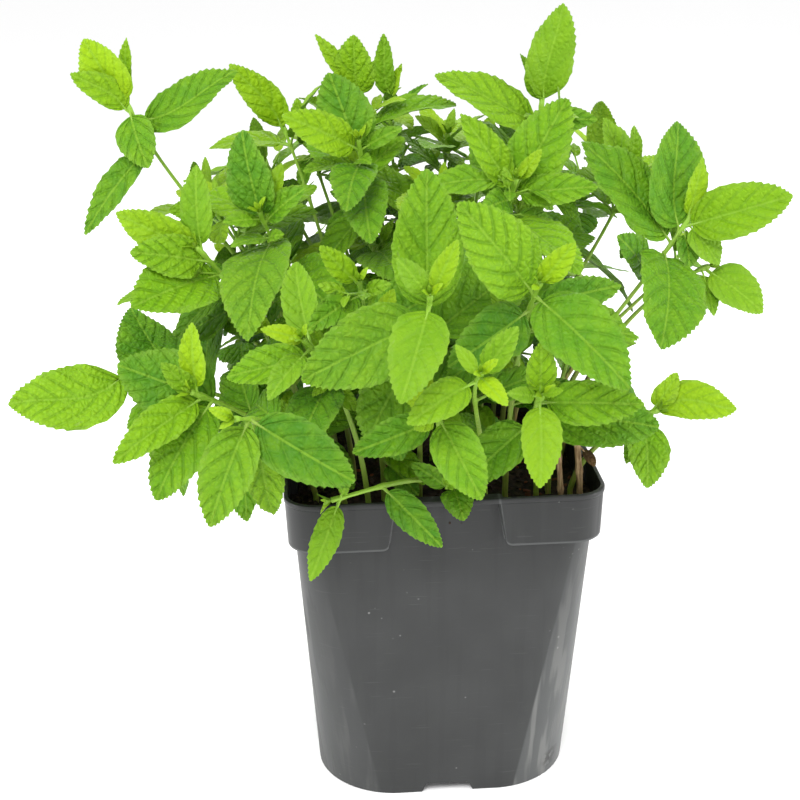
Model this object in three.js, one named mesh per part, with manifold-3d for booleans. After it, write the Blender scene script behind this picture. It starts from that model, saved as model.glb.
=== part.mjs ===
// A potted mint plant: a square plastic nursery pot filled with soil, and a bush of leafy mint
// stems that stand in it. Millimetres, +Z up. The origin is the middle of the pot's underside.

import * as THREE from "three";
import { mergeVertices } from "three/addons/utils/BufferGeometryUtils.js";
import Module from "manifold-3d";

const wasm = await Module();
wasm.setup();

// ---------------------------------------------------------------- driving dimensions

const POT_WIDTH = 110;          // over the rim
const POT_HEIGHT = 120;
const WALL = 1.2;
const GAP = 0.3;                // between pieces that rest in or on each other

const BODY_WIDTH_LOW = 92.4;    // the tapered body, at the foot
const BODY_WIDTH_HIGH = 103.3;  // and under the rim band
const BODY_CORNER_LOW = 27;     // its corners are cones that widen downward
const BODY_CORNER_HIGH = 12;
const BAND_LOW = 102;           // height where the rim band starts
const BAND_WIDTH_LOW = 108.2;
const BAND_WIDTH_HIGH = 109.4;
const BEAD_HEIGHT = 2;          // thin lip round the top
const BEAD_EDGE = 0.5;          // its softened edges: height, and how far they draw in
const BEAD_INSET = 0.4;
const RIM_CORNER = 11;
const RECESS_HALF_LOW = 19.5;   // the band steps back to the body in the middle of each side
const RECESS_HALF_HIGH = 17;
const FLOOR_UNDER = 3.5;        // the floor stands above the foot ring
const FOOT_RING = 2.5;          // width of that ring
const NOTCH_HALF_LOW = 9.5;     // drainage notch in each side of the foot ring
const NOTCH_HALF_HIGH = 7.5;
const NOTCH_HEIGHT = 3.3;
const PAD_RADIUS = 12;          // round pad in the middle of the underside
const DRAIN_RADIUS = 4.5;
const DRAIN_OFFSET = 24;
const DRAIN_SIDES = 16;
const CORNER_STEPS = 4;
const OVERLAP = 0.1;            // how far solids that become one reach into each other
const PAST = 5;                 // how far a cutting shape reaches past what it cuts

const SOIL_LEVEL = 110;
const SOIL_BUMP = 1.1;
const SOIL_CELLS = 8;
const ROOT_DEPTH = 12;          // the stems reach this far into the soil

const STEM_TOP = 113;           // a stem leaves its hole upright and starts to lean here
const STEM_HALF_LOW = 1.35;     // half side of the square stem
const STEM_HALF_HIGH = 0.8;
const STEM_STEPS = 6;
const CURVE_POINTS = 40;
const FOOT_LEAN = 0.35;         // how far a stem's foot leans to its tip
const FOOT_PULL = 0.4;          // how far its ends hold their direction, as shares of its reach
const TIP_PULL = 0.3;
const BARE_FOOT = 6;            // no leaf grows on a stem's lowest part

const BLADE_HALF = 0.32;        // half thickness of a leaf
const STALK_HALF = 0.75;        // half width of a leaf stalk
const STALK_POINT = -1.25;      // where a stalk ends inside its stem, in stalk lengths
const OWN_STALK = 3;            // stalk lengths of own leaves, young leaves and grown leaves
const YOUNG_STALK = 1.5;
const GROWN_STALK = 4;
const TAPER = 0.8;              // shape of a blade's outline
const WIDEST = 2.378;           // makes the outline u^0.5 (1 - u)^TAPER reach 1 where it is widest
const BOW_PEAK = 6.75;          // makes the curve t (1 - t)^2 reach 1 at its peak
const YOUNG_LEAF = 20;          // leaves shorter than this are young
const MIDDLE_LEAF = 24;         // leaves from these lengths get finer margins
const LARGE_LEAF = 37;
const CLEARANCE = 3.6;          // least distance between sample points of two stems
const SAMPLE_STEP = 2.6;
const FRONT_TURN = 0.7;         // how far a stem's own leaves turn to the front
const FRONT_SLOPE = 0.4;        // leaves before the pot stay above a plane rising from its rim
const STEM_TURN = 0.35;         // how far a leaf of a pair turns to the stem's tip
const SUN = [-0.05, -0.5, 0.75];
const OUTWARD_TURN = 0.55;      // how far leaves turn away from the middle of the bush,
const OUTWARD_FROM = 60;        // in full from this distance
const RIM_ROOM = 4;             // leaves keep this far from the pot's wall and from its rim
const SOIL_ROOM = 3;
const FIRST_SEED = 31;
const SEED_STEP = 977;
const CORE_Y = 14;              // the hidden core of the bush
const CORE_RADIUS = 68;
const CORE_TOP = 203;

// ---------------------------------------------------------------- materials

const material = (color, roughness) =>
  new THREE.MeshStandardMaterial({ color, roughness, metalness: 0, side: THREE.FrontSide });

const plasticMaterial = material(0x58595a, 0.42);
const soilMaterial = material(0x231c17, 1.0);
const leafMaterial = material(0x5f9f27, 0.55);
const dryMaterial = material(0x9a7f5e, 0.85);

// ---------------------------------------------------------------- solids and meshes

function geometryOf(points, triangles) {
  const geometry = new THREE.BufferGeometry();
  const flat = points.flatMap((p) => (p.isVector3 ? p.toArray() : p));
  geometry.setAttribute("position", new THREE.Float32BufferAttribute(flat, 3));
  geometry.setIndex(triangles);
  return geometry;
}

function solidOf(geometry) {
  return new wasm.Manifold(new wasm.Mesh({
    numProp: 3,
    vertProperties: new Float32Array(geometry.attributes.position.array),
    triVerts: new Uint32Array(geometry.index.array),
  }));
}

function meshOf(name, solid, meshMaterial) {
  const { vertProperties, triVerts } = solid.getMesh();
  const geometry = new THREE.BufferGeometry();
  geometry.setAttribute("position", new THREE.BufferAttribute(vertProperties, 3));
  geometry.setIndex(new THREE.BufferAttribute(triVerts, 1));
  const mesh = new THREE.Mesh(geometry, meshMaterial);
  mesh.name = name;
  return mesh;
}

// A closed solid through rings of equally many points, each ring counter-clockwise seen from the
// end of the loft.
function loft(rings) {
  const count = rings[0].length;
  const top = (rings.length - 1) * count;
  const triangles = [];
  for (let start = 0; start < top; start += count) {
    for (let i = 0; i < count; i++) {
      const j = (i + 1) % count;
      triangles.push(start + i, start + j, start + count + j);
      triangles.push(start + i, start + count + j, start + count + i);
    }
  }
  for (let i = 1; i + 1 < count; i++) {
    triangles.push(0, i + 1, i);
    triangles.push(top, top + i, top + i + 1);
  }
  return solidOf(geometryOf(rings.flat(), triangles));
}

function roundedSquare(width, radius, z) {
  const centre = width / 2 - radius;
  const ring = [];
  for (let corner = 0; corner < 4; corner++) {
    const x = corner === 0 || corner === 3 ? centre : -centre;
    const y = corner < 2 ? centre : -centre;
    for (let step = 0; step <= CORNER_STEPS; step++) {
      const angle = (corner + step / CORNER_STEPS) * Math.PI / 2;
      ring.push([x + radius * Math.cos(angle), y + radius * Math.sin(angle), z]);
    }
  }
  return ring;
}

function cylinder(radius, low, high, x, y) {
  const geometry = new THREE.CylinderGeometry(radius, radius, high - low, DRAIN_SIDES);
  geometry.rotateX(Math.PI / 2).translate(x, y, (low + high) / 2);
  return closed(geometry);
}

// A library geometry as a solid, with each corner point held once.
function closed(geometry) {
  geometry.deleteAttribute("normal");
  geometry.deleteAttribute("uv");
  return solidOf(mergeVertices(geometry, 1e-4));
}

// A prism over a four-sided outline in X and Z, standing across Y from nearY to farY.
function sidePrism(halfLow, halfHigh, low, high, nearY, farY) {
  const ring = (y) => [[-halfLow, y, low], [halfLow, y, low], [halfHigh, y, high], [-halfHigh, y, high]];
  return loft([ring(farY), ring(nearY)]);
}

const onFourSides = (solid) => [0, 90, 180, 270].map((turn) => solid.rotate([0, 0, turn]));
const joined = (solids) => wasm.Manifold.union(solids);

// ---------------------------------------------------------------- the pot

const bodyWidthAt = (z) =>
  BODY_WIDTH_LOW + (BODY_WIDTH_HIGH - BODY_WIDTH_LOW) * Math.min(1, z / BAND_LOW);
const bodyCornerAt = (z) =>
  BODY_CORNER_LOW + (BODY_CORNER_HIGH - BODY_CORNER_LOW) * Math.min(1, z / BAND_LOW);

// The pot's tapered body drawn in by `inset`, from one height to another.
function bodyLoft(low, high, inset) {
  const heights = [low, BAND_LOW, high];
  return loft(heights.map((z) =>
    roundedSquare(bodyWidthAt(z) - 2 * inset, bodyCornerAt(z) - inset, z)));
}

// The rim band drawn in by `inset`, with its recess in the middle of each side.
function bandLoft(low, high, inset) {
  const widthAt = (z) => BAND_WIDTH_LOW
    + (BAND_WIDTH_HIGH - BAND_WIDTH_LOW) * (z - BAND_LOW) / (POT_HEIGHT - BEAD_HEIGHT - BAND_LOW);
  const band = loft([low, high].map((z) =>
    roundedSquare(widthAt(z) - 2 * inset, RIM_CORNER - inset, z)));
  const recess = sidePrism(RECESS_HALF_LOW + inset, RECESS_HALF_HIGH + inset, BAND_LOW - PAST,
    POT_HEIGHT + PAST, -POT_WIDTH, -BODY_WIDTH_HIGH / 2 + inset);
  return band.subtract(joined(onFourSides(recess)));
}

function potInside(inset, floor, top) {
  return joined([
    bodyLoft(floor, top, WALL + inset),
    bandLoft(BAND_LOW + WALL + inset, top, WALL + inset),
  ]);
}

function buildPot() {
  const beadLow = POT_HEIGHT - BEAD_HEIGHT;
  const bead = loft([
    roundedSquare(POT_WIDTH - 2 * BEAD_INSET, RIM_CORNER, beadLow),
    roundedSquare(POT_WIDTH, RIM_CORNER, beadLow + BEAD_EDGE),
    roundedSquare(POT_WIDTH, RIM_CORNER, POT_HEIGHT - BEAD_EDGE),
    roundedSquare(POT_WIDTH - 2 * BEAD_INSET, RIM_CORNER, POT_HEIGHT),
  ]);
  const wallHigh = beadLow + OVERLAP;
  const outside = joined([bodyLoft(0, wallHigh, 0), bandLoft(BAND_LOW, wallHigh, 0), bead]);
  const inside = potInside(0, FLOOR_UNDER + WALL, POT_HEIGHT + PAST);
  const underside = loft([-PAST, FLOOR_UNDER].map((z) =>
    roundedSquare(BODY_WIDTH_LOW - 2 * FOOT_RING, BODY_CORNER_LOW - FOOT_RING, z)));
  const notch = sidePrism(NOTCH_HALF_LOW, NOTCH_HALF_HIGH, -OVERLAP, NOTCH_HEIGHT,
    -POT_WIDTH, -BODY_WIDTH_LOW / 2 + FOOT_RING + PAST);
  const drains = [[1, 1], [-1, 1], [-1, -1], [1, -1]].map(([x, y]) =>
    cylinder(DRAIN_RADIUS, -PAST, FLOOR_UNDER + WALL + PAST, x * DRAIN_OFFSET, y * DRAIN_OFFSET));
  const pad = cylinder(PAD_RADIUS, 0, FLOOR_UNDER + WALL / 2, 0, 0);
  return outside
    .subtract(inside)
    .subtract(underside)
    .add(pad)
    .subtract(joined([...onFourSides(notch), ...drains]));
}

// ---------------------------------------------------------------- vectors and random draws

const vec = (x, y, z) => new THREE.Vector3(x, y, z);
const radians = THREE.MathUtils.degToRad;

// The sum of vectors, each times its factor.
function blend(...terms) {
  const sum = vec(0, 0, 0);
  for (const [v, factor] of terms) sum.addScaledVector(v, factor);
  return sum;
}

const across = (v, axis) => v.clone().addScaledVector(axis, -v.dot(axis)).normalize();

// Even random draws from 0 to 1 by a linear congruence.
const DRAW_FACTOR = 1664525;
const DRAW_STEP = 1013904223;
const DRAW_RANGE = 2 ** 32;

function randomDraws(seed) {
  let state = seed;
  return () => {
    state = (state * DRAW_FACTOR + DRAW_STEP) % DRAW_RANGE;
    return state / DRAW_RANGE;
  };
}

// ---------------------------------------------------------------- the plant's plan

// Leaf pairs that a stem bears by rule, youngest first: distance below the stem's tip, leaf length,
// spread from the stem in degrees, arch in degrees, width as a share of length.
const PAIRS = [
  { below: 1, length: 9, spread: 16, arch: 10, wide: 0.42 },
  { below: 3, length: 18, spread: 36, arch: 20, wide: 0.48 },
  { below: 8, length: 28, spread: 54, arch: 26, wide: 0.52 },
  { below: 16, length: 36, spread: 66, arch: 30, wide: 0.56 },
  { below: 28, length: 40, spread: 74, arch: 34, wide: 0.58 },
  { below: 44, length: 38, spread: 78, arch: 38, wide: 0.60 },
  { below: 63, length: 35, spread: 80, arch: 40, wide: 0.60 },
  { below: 84, length: 30, spread: 80, arch: 40, wide: 0.60 },
];
// The youngest pairs are too small to build, and the lowest are hidden under the others.
const SOLID_PAIRS = [2, 3, 4, 5];

// The stems. tip and root are the stem's ends, turn sets its first pair about the stem, aim is the
// way its tip points, pairs are the leaf pairs that it bears by rule. Each of its own leaves is
// [distance below the tip, x, y, z of the leaf's tip, width / length, arch, bow if any].
const STEMS = [
  { name: "front_1", tip: [-8, -88, 201], root: [-8, -34], turn: 45, aim: [0, -7, 7], pairs: "04567",
    leaves: [[2, -18, -92, 214, 0.5, 20], [2, 0, -90, 218, 0.42, 20], [6, -18, -108, 174, 0.55, 30],
      [15, -47, -84, 175, 0.6, 30], [13, -8, -66, 234, 0.55, 30]] },
  { name: "front_2", tip: [26, -78, 201], root: [22, -34], turn: 35, aim: [1, -7, 7], pairs: "04567",
    leaves: [[8, 0, -80, 226, 0.6, 30], [8, 51, -94, 171, 0.58, 40], [3, 35, -84, 215, 0.5, 20],
      [14, 54, -62, 195, 0.42, 30], [16, -2, -80, 175, 0.6, 40]] },
  { name: "front_3", tip: [26, -86, 168], root: [32, -40], turn: 0, aim: [1, -8, 6], pairs: "0457",
    leaves: [[4, 25, -86, 185, 0.6, 20], [9, 58, -84, 163, 0.5, 30], [5, 24, -98, 142, 0.52, 30],
      [3, 14, -92, 171, 0.45, 20]] },
  { name: "front_4", tip: [-28, -66, 200], root: [-20, -28], turn: 30, aim: [-1, -6, 7], pairs: "04567",
    leaves: [[3, -40, -68, 212, 0.5, 20], [7, -45, -76, 188, 0.5, 30], [6, -18, -70, 200, 0.5, 30]] },
  { name: "front_5", tip: [6, -96, 179], root: [14, -42], turn: 20, aim: [1, -8, 6], pairs: "01234",
    size: 0.85, leaves: [] },
  { name: "front_6", tip: [-6, -88, 164], root: [2, -42], turn: 50, aim: [0, -8, 6], pairs: "01",
    size: 0.9, leaves: [[3, 6, -98, 139, 0.62, 30], [8, -32, -84, 150, 0.5, 30],
      [4, -14, -94, 161, 0.6, 15]] },
  { name: "front_7", tip: [-46, -74, 185], root: [-26, -40], turn: 70, aim: [-3, -7, 6], pairs: "01234",
    size: 0.8, leaves: [] },
  { name: "front_8", tip: [-39, -66, 127], root: [10, -46], turn: 20, aim: [-9, -2, -1], pairs: "0",
    size: 0.8, rise: [-2, 1, 10],
    leaves: [[3, -46, -76, 103, 0.38, 20], [3, -33, -72, 136, 0.4, 20], [18, -3, -72, 112, 0.45, 30],
      [46, 5, -62, 115, 0.85, 60]] },
  { name: "middle_1", tip: [-25, -5, 233], root: [-14, -2], turn: 20, aim: [-1, -5, 8], pairs: "034567",
    leaves: [[5, -51, -12, 242, 0.5, 30], [8, -34, 6, 254, 0.72, 30], [5, -10, -8, 237, 0.45, 20],
      [10, -31, -30, 213, 0.55, 40], [2, -20, -6, 240, 0.45, 10]] },
  { name: "middle_2", tip: [-24, 28, 246], root: [-8, 20], turn: 80, aim: [-1, 0, 10], pairs: "03456",
    size: 0.9, leaves: [[2, -38, 26, 265, 0.3, 20], [5, -25, 22, 265, 0.75, 20],
      [3, -17, 28, 255, 0.4, 20]] },
  { name: "middle_3", tip: [-10, 55, 238], root: [4, 40], turn: 20, aim: [1, 1, 10], pairs: "03456",
    size: 0.8, leaves: [[2, -12, 52, 262, 0.36, 15, -0.06], [2, -6, 52, 251, 0.36, 20],
      [9, 4, 50, 243, 0.3, 30]] },
  { name: "middle_4", tip: [42, 22, 241], root: [18, 14], turn: 10, aim: [1, 0, 10], pairs: "034567",
    leaves: [[3, 49, 20, 274, 0.56, 15, -0.05], [2, 33, 20, 257, 0.36, 20], [9, 3, 18, 251, 0.5, 30, -0.05],
      [10, 61, 16, 233, 0.55, 40]] },
  { name: "middle_5", tip: [26, -25, 222], root: [12, -12], turn: 30, aim: [1, -5, 8], pairs: "034567",
    leaves: [[6, 8, -24, 244, 0.42, 20], [8, 44, -12, 246, 0.62, 30], [7, 53, -28, 218, 0.5, 30],
      [3, 34, -26, 232, 0.45, 20], [9, 12, -40, 214, 0.5, 30]] },
  { name: "middle_6", tip: [4, 5, 213], root: [0, 6], turn: 60, aim: [0, -2, 10], pairs: "01234567",
    leaves: [] },
  { name: "right_1", tip: [90, -8, 204], root: [36, -20], turn: 20, aim: [5, 1, 8], pairs: "06",
    leaves: [[5, 124, -14, 210, 0.58, 20], [8, 85, 2, 235, 0.72, 20, -0.07], [3, 93, -8, 224, 0.42, 15],
      [12, 52, 0, 229, 0.54, 30], [3, 99, -14, 187, 0.85, 20], [5, 88, -16, 187, 0.85, 20],
      [16, 70, -50, 169, 0.66, 35], [26, 59, -30, 203, 0.5, 20]] },
  { name: "right_2", tip: [97, -10, 186], root: [46, -6], turn: 60, aim: [8, -1, 3], pairs: "",
    size: 0.7, leaves: [[2, 114, -20, 171, 0.8, 20], [3, 96, -22, 171, 0.5, 20]] },
  { name: "right_3", tip: [73, -42, 145], root: [45, -34], turn: 10, aim: [7, -4, 5], pairs: "0",
    size: 0.7, leaves: [[3, 99, -46, 145, 0.54, 20, -0.15], [3, 79, -42, 158, 0.66, 20],
      [6, 67, -56, 122, 0.74, 25], [9, 62, -46, 127, 0.5, 20]] },
  { name: "right_4", tip: [75, 22, 214], root: [30, 12], turn: 50, aim: [3, 0, 10], pairs: "01236",
    size: 1.1, leaves: [[3, 64, 24, 233, 0.62, 20], [3, 75, 20, 231, 0.5, 20]] },
  { name: "right_5", tip: [52, -40, 184], root: [38, -29], turn: 20, aim: [5, -3, 8], pairs: "03",
    size: 0.7, leaves: [] },
  { name: "right_6", tip: [104, 48, 180], root: [44, 20], turn: 30, aim: [5, 3, 8], pairs: "01236",
    leaves: [] },
  { name: "left_1", tip: [-59, -22, 213], root: [-30, -8], turn: 110, aim: [-2, -6, 8], pairs: "04567",
    size: 0.95, leaves: [[6, -64, -16, 239, 0.6, 30], [6, -43, -26, 221, 0.55, 30],
      [14, -62, -56, 178, 0.55, 45], [4, -71, -31, 211, 0.5, 20]] },
  { name: "left_2", tip: [-104, 10, 246], root: [-36, 10], turn: 60, aim: [-3.5, 0, 9], pairs: "0",
    size: 0.8, leaves: [[3, -116, 8, 267, 0.72, 20], [2, -102, 10, 267, 0.3, 15],
      [5, -121, 4, 256, 0.5, 20, 0.08], [3, -97, 0, 224, 0.76, 20], [18, -120, 2, 201, 0.33, 30],
      [9, -65, 8, 255, 0.5, 15, 0.08]] },
  { name: "left_3", tip: [-51, 42, 231], root: [-26, 26], turn: 165, aim: [-3, 1, 9], pairs: "02456",
    leaves: [[3, -69, 40, 254, 0.44, 20, 0.06]] },
  { name: "left_4", tip: [-80, -28, 203], root: [-42, -16], turn: 10, aim: [-5, -4, 7], pairs: "04567",
    size: 0.95, leaves: [[3, -79, -22, 229, 0.45, 25], [8, -101, -36, 204, 0.6, 25],
      [4, -106, -24, 214, 0.5, 25], [14, -101, -44, 187, 0.78, 30]] },
  { name: "left_5", tip: [-83, -52, 161], root: [-44, -30], turn: 80, aim: [-6, -6, 5], pairs: "045",
    size: 0.85, leaves: [[3, -81, -50, 184, 0.45, 25], [5, -92, -54, 172, 0.5, 20],
      [6, -108, -64, 142, 0.45, 25], [10, -96, -62, 128, 0.6, 35], [14, -107, -40, 168, 0.75, 20]] },
  { name: "left_6", tip: [-108, -14, 155], root: [-46, -6], turn: 10, aim: [-9, -1, 3], pairs: "34",
    size: 0.9, leaves: [[1, -149, -18, 148, 0.62, 12, -0.11],
      [20, -103, -30, 184, 0.75, 15]] },
  { name: "left_7", tip: [-67, -92, 166], root: [-34, -42], turn: 100, aim: [-5, -8, 3], pairs: "04",
    leaves: [[8, -76, -100, 135, 0.56, 35], [8, -32, -94, 145, 0.56, 35],
      [10, -57, -84, 131, 0.5, 25]] },
  { name: "left_8", tip: [-82, 30, 210], root: [-36, 20], turn: 40, aim: [-5, 2, 8], pairs: "01234567",
    size: 0.9, leaves: [] },
  { name: "left_9", tip: [-96, 60, 175], root: [-44, 32], turn: 15, aim: [-5, 3, 8], pairs: "01234567",
    leaves: [] },
  { name: "back_1", tip: [-60, 72, 215], root: [-20, 34], turn: 20, aim: [-4, 5, 8], pairs: "01234567",
    leaves: [] },
  { name: "back_2", tip: [-20, 92, 225], root: [-6, 46], turn: 50, aim: [-1, 6, 8], pairs: "01234567",
    leaves: [] },
  { name: "back_3", tip: [30, 96, 210], root: [14, 46], turn: 10, aim: [2, 6, 8], pairs: "01234567",
    leaves: [] },
  { name: "back_4", tip: [72, 70, 215], root: [30, 34], turn: 70, aim: [4, 4, 8], pairs: "01234567",
    leaves: [] },
  { name: "back_5", tip: [60, 104, 165], root: [28, 46], turn: 40, aim: [3, 5, 8], pairs: "01234567",
    leaves: [] },
  { name: "back_6", tip: [-48, 108, 165], root: [-26, 46], turn: 60, aim: [-2, 6, 8], pairs: "01234567",
    leaves: [] },
  { name: "middle_7", tip: [10, 42, 226], root: [4, 28], turn: 70, aim: [1, -1, 10], pairs: "0123456",
    leaves: [[4, -3, 38, 233, 0.5, 25], [8, 17, 34, 207, 0.55, 25]] },
  { name: "left_10", tip: [-42, 52, 226], root: [-14, 34], turn: 30, aim: [-2, 0, 10], pairs: "0123456",
    leaves: [[4, -45, 48, 240, 0.6, 25], [8, -45, 44, 206, 0.6, 25]] },
  { name: "left_11", tip: [-74, 4, 212], root: [-36, 2], turn: 75, aim: [-3, -2, 9], pairs: "0123456",
    size: 0.9, leaves: [[5, -91, 0, 209, 0.62, 20]] },
];

// ---------------------------------------------------------------- stems as curves

// Points of a stem from its foot to its tip, each with the stem's direction there and a side
// vector that turns with the stem without twisting.
function stemPath(stem) {
  const root = vec(stem.root[0], stem.root[1], STEM_TOP);
  const tip = vec(...stem.tip);
  const reach = tip.distanceTo(root);
  const toTip = tip.clone().sub(root).normalize();
  const aim = vec(...stem.aim).normalize();
  const up = vec(...(stem.rise ?? [0, 0, 1])).normalize();
  const rise = blend([up, 1], [toTip, FOOT_LEAN]).normalize();
  const curve = new THREE.CubicBezierCurve3(root, blend([root, 1], [rise, FOOT_PULL * reach]),
    blend([tip, 1], [aim, -TIP_PULL * reach]), tip);
  const points = curve.getPoints(CURVE_POINTS);
  let side = vec(1, 0, 0);
  return points.map((point, i) => {
    const from = points[Math.max(0, i - 1)];
    const to = points[Math.min(CURVE_POINTS, i + 1)];
    const direction = to.clone().sub(from).normalize();
    side = across(side, direction);
    return { point, direction, side };
  });
}

// The place on a stem at a distance below its tip, or null on its bare foot.
function placeBelowTip(path, below) {
  let left = below;
  for (let i = path.length - 1; i > 0; i--) {
    const length = path[i].point.distanceTo(path[i - 1].point);
    if (left <= length) {
      const t = left / length;
      const clearOfRoot = path[i - 1].point.distanceTo(path[0].point) > BARE_FOOT;
      const point = blend([path[i].point, 1 - t], [path[i - 1].point, t]);
      return clearOfRoot ? { point, direction: path[i].direction, side: path[i].side } : null;
    }
    left -= length;
  }
  return null;
}

// ---------------------------------------------------------------- leaves

// A leaf turns its upper face to the sky, to the sunny side and away from the bush.
function lightAt(point) {
  const outward = vec(point.x, point.y, 0);
  outward.divideScalar(Math.max(OUTWARD_FROM, outward.length()));
  return blend([vec(...SUN), 1], [outward, OUTWARD_TURN]).normalize();
}

// A leaf: a straight stalk from `base` along `forward`, then a blade bent along an arc about the
// leaf's own side axis, its halves folded up by `fold`. `bow` swings the blade to the side a third
// of the way along, as a share of its length.
class Leaf {
  constructor(base, forward, up, { length, width, arch, fold, stalk, bow = 0 }) {
    Object.assign(this, { base, forward, up, length, width, arch, fold, stalk, bow });
    this.sideways = new THREE.Vector3().crossVectors(forward, up);
  }

  // An outline with a round base and a drawn-out tip, widest at 0.38 of the blade.
  halfWidth(u) {
    return this.width / 2 * WIDEST * Math.sqrt(Math.max(u, 0)) * Math.max(1 - u, 0) ** TAPER;
  }

  // The point at u along the blade (0 to 1, below 0 on the stalk), `wide` to the side and `lift`
  // above the blade's middle surface.
  at(u, wide, lift = 0) {
    const t = Math.max(u, 0);
    const angle = this.arch * t;
    const bend = this.length / this.arch;
    const normal = blend([this.up, Math.cos(angle)], [this.forward, Math.sin(angle)]);
    const along = blend([this.forward, Math.cos(angle)], [this.up, -Math.sin(angle)]);
    const slope = BOW_PEAK * this.bow * (1 - t) * (1 - 3 * t);
    const side = blend([this.sideways, 1], [along, -slope]).normalize();
    const straight = u < 0 ? this.stalk * (1 + u) : this.stalk;
    return blend(
      [this.base, 1],
      [this.forward, straight + bend * Math.sin(angle)],
      [this.up, -bend * (1 - Math.cos(angle))],
      [this.sideways, BOW_PEAK * this.bow * this.length * t * (1 - t) ** 2],
      [side, wide * Math.cos(this.fold)],
      [normal, Math.abs(wide) * Math.sin(this.fold) + lift]);
  }

  samples() {
    const rows = Math.max(3, Math.floor(this.length / SAMPLE_STEP + 0.5));
    const points = [];
    for (let i = 0; i <= rows; i++) {
      const half = this.halfWidth(i / rows);
      const columns = Math.floor(half / SAMPLE_STEP + 0.5);
      for (let j = -columns; j <= columns; j++) {
        points.push(this.at(i / rows, half * j / Math.max(columns, 1)));
      }
    }
    return points;
  }
}

const between = (low, high, draw) => low + (high - low) * draw;
const foldOf = (draw) => radians(between(14, 24, draw));

// A leaf on a stem whose tip is at a given point.
function leafTo(base, tip, wide, archDegrees, bow, draws) {
  const arch = radians(archDegrees);
  const chord = tip.clone().sub(base);
  const line = chord.clone().normalize();
  const over = across(blend([lightAt(base), 1], [vec(0, -1, 0), FRONT_TURN]), line);
  const stalk = OWN_STALK;
  const length = (chord.length() - stalk * Math.cos(arch / 2)) * arch / (2 * Math.sin(arch / 2));
  return new Leaf(base,
    blend([line, Math.cos(arch / 2)], [over, Math.sin(arch / 2)]),
    blend([over, Math.cos(arch / 2)], [line, -Math.sin(arch / 2)]),
    { length, width: length * wide, arch, fold: foldOf(draws[4]), stalk, bow });
}

// A leaf of a pair that grows by rule.
function pairLeaf(stem, pair, place, azimuth, draws, attempt) {
  const up = new THREE.Vector3().crossVectors(place.direction, place.side);
  const turn = radians(azimuth + attempt.swing);
  const outward = blend([place.side, Math.cos(turn)], [up, Math.sin(turn)]);
  const spread = radians(pair.spread + attempt.tilt + between(-8, 8, draws[0]));
  const isYoung = pair.length < YOUNG_LEAF;
  const sag = isYoung ? 0 : between(0.10, 0.22, draws[1]);
  const forward = blend([place.direction, Math.cos(spread)], [outward, Math.sin(spread)],
    [vec(0, 0, 1), -sag]).normalize();
  const facing = blend([place.direction, STEM_TURN], [lightAt(place.point), 1]);
  const length = pair.length * (stem.size ?? 1) * attempt.shrink * between(0.88, 1.12, draws[2]);
  return new Leaf(place.point, forward, across(facing, forward), {
    length,
    width: length * pair.wide,
    arch: radians(pair.arch * between(0.7, 1.3, draws[3])),
    fold: foldOf(draws[4]),
    stalk: isYoung ? YOUNG_STALK : GROWN_STALK,
  });
}

// Ways to bend a leaf clear of its neighbours: turned about the stem, tilted, made smaller.
const ATTEMPTS = [
  [0, 0, 1], [12, 0, 1], [-12, 0, 1], [0, 14, 1], [0, -14, 1], [24, 8, 0.95], [-24, 8, 0.95],
  [0, -28, 0.95], [0, 26, 0.95], [12, -20, 0.85], [-12, -20, 0.85], [30, -10, 0.8], [-30, -10, 0.8],
  [0, 0, 0.75], [0, -40, 0.75], [20, 30, 0.7], [-20, 30, 0.7], [0, 0, 0.55], [0, -30, 0.5],
].map(([swing, tilt, shrink]) => ({ swing, tilt, shrink }));

const cloud = (points) => ({ points, box: new THREE.Box3().setFromPoints(points) });

function near(a, b) {
  if (!a.box.clone().expandByScalar(CLEARANCE).intersectsBox(b.box)) return false;
  return a.points.some((p) => b.points.some((q) => p.distanceToSquared(q) < CLEARANCE * CLEARANCE));
}

// A leaf may hang outside the pot or lie inside above the soil, and none that grows by rule hangs
// before the pot's front.
function clearOfPot(points) {
  const half = POT_WIDTH / 2;
  return points.every((p) => {
    const out = Math.max(Math.abs(p.x), Math.abs(p.y));
    const rising = POT_HEIGHT + FRONT_SLOPE * (-half - p.y);
    const beforePot = p.y < RIM_ROOM - half && Math.abs(p.x) < half && p.z < rising + RIM_ROOM;
    const above = p.z > POT_HEIGHT + RIM_ROOM / 2;
    const beside = out > half + RIM_ROOM / 2;
    const within = out < half - RIM_ROOM && p.z > SOIL_LEVEL + SOIL_ROOM;
    return !beforePot && (above || beside || within);
  });
}

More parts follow.
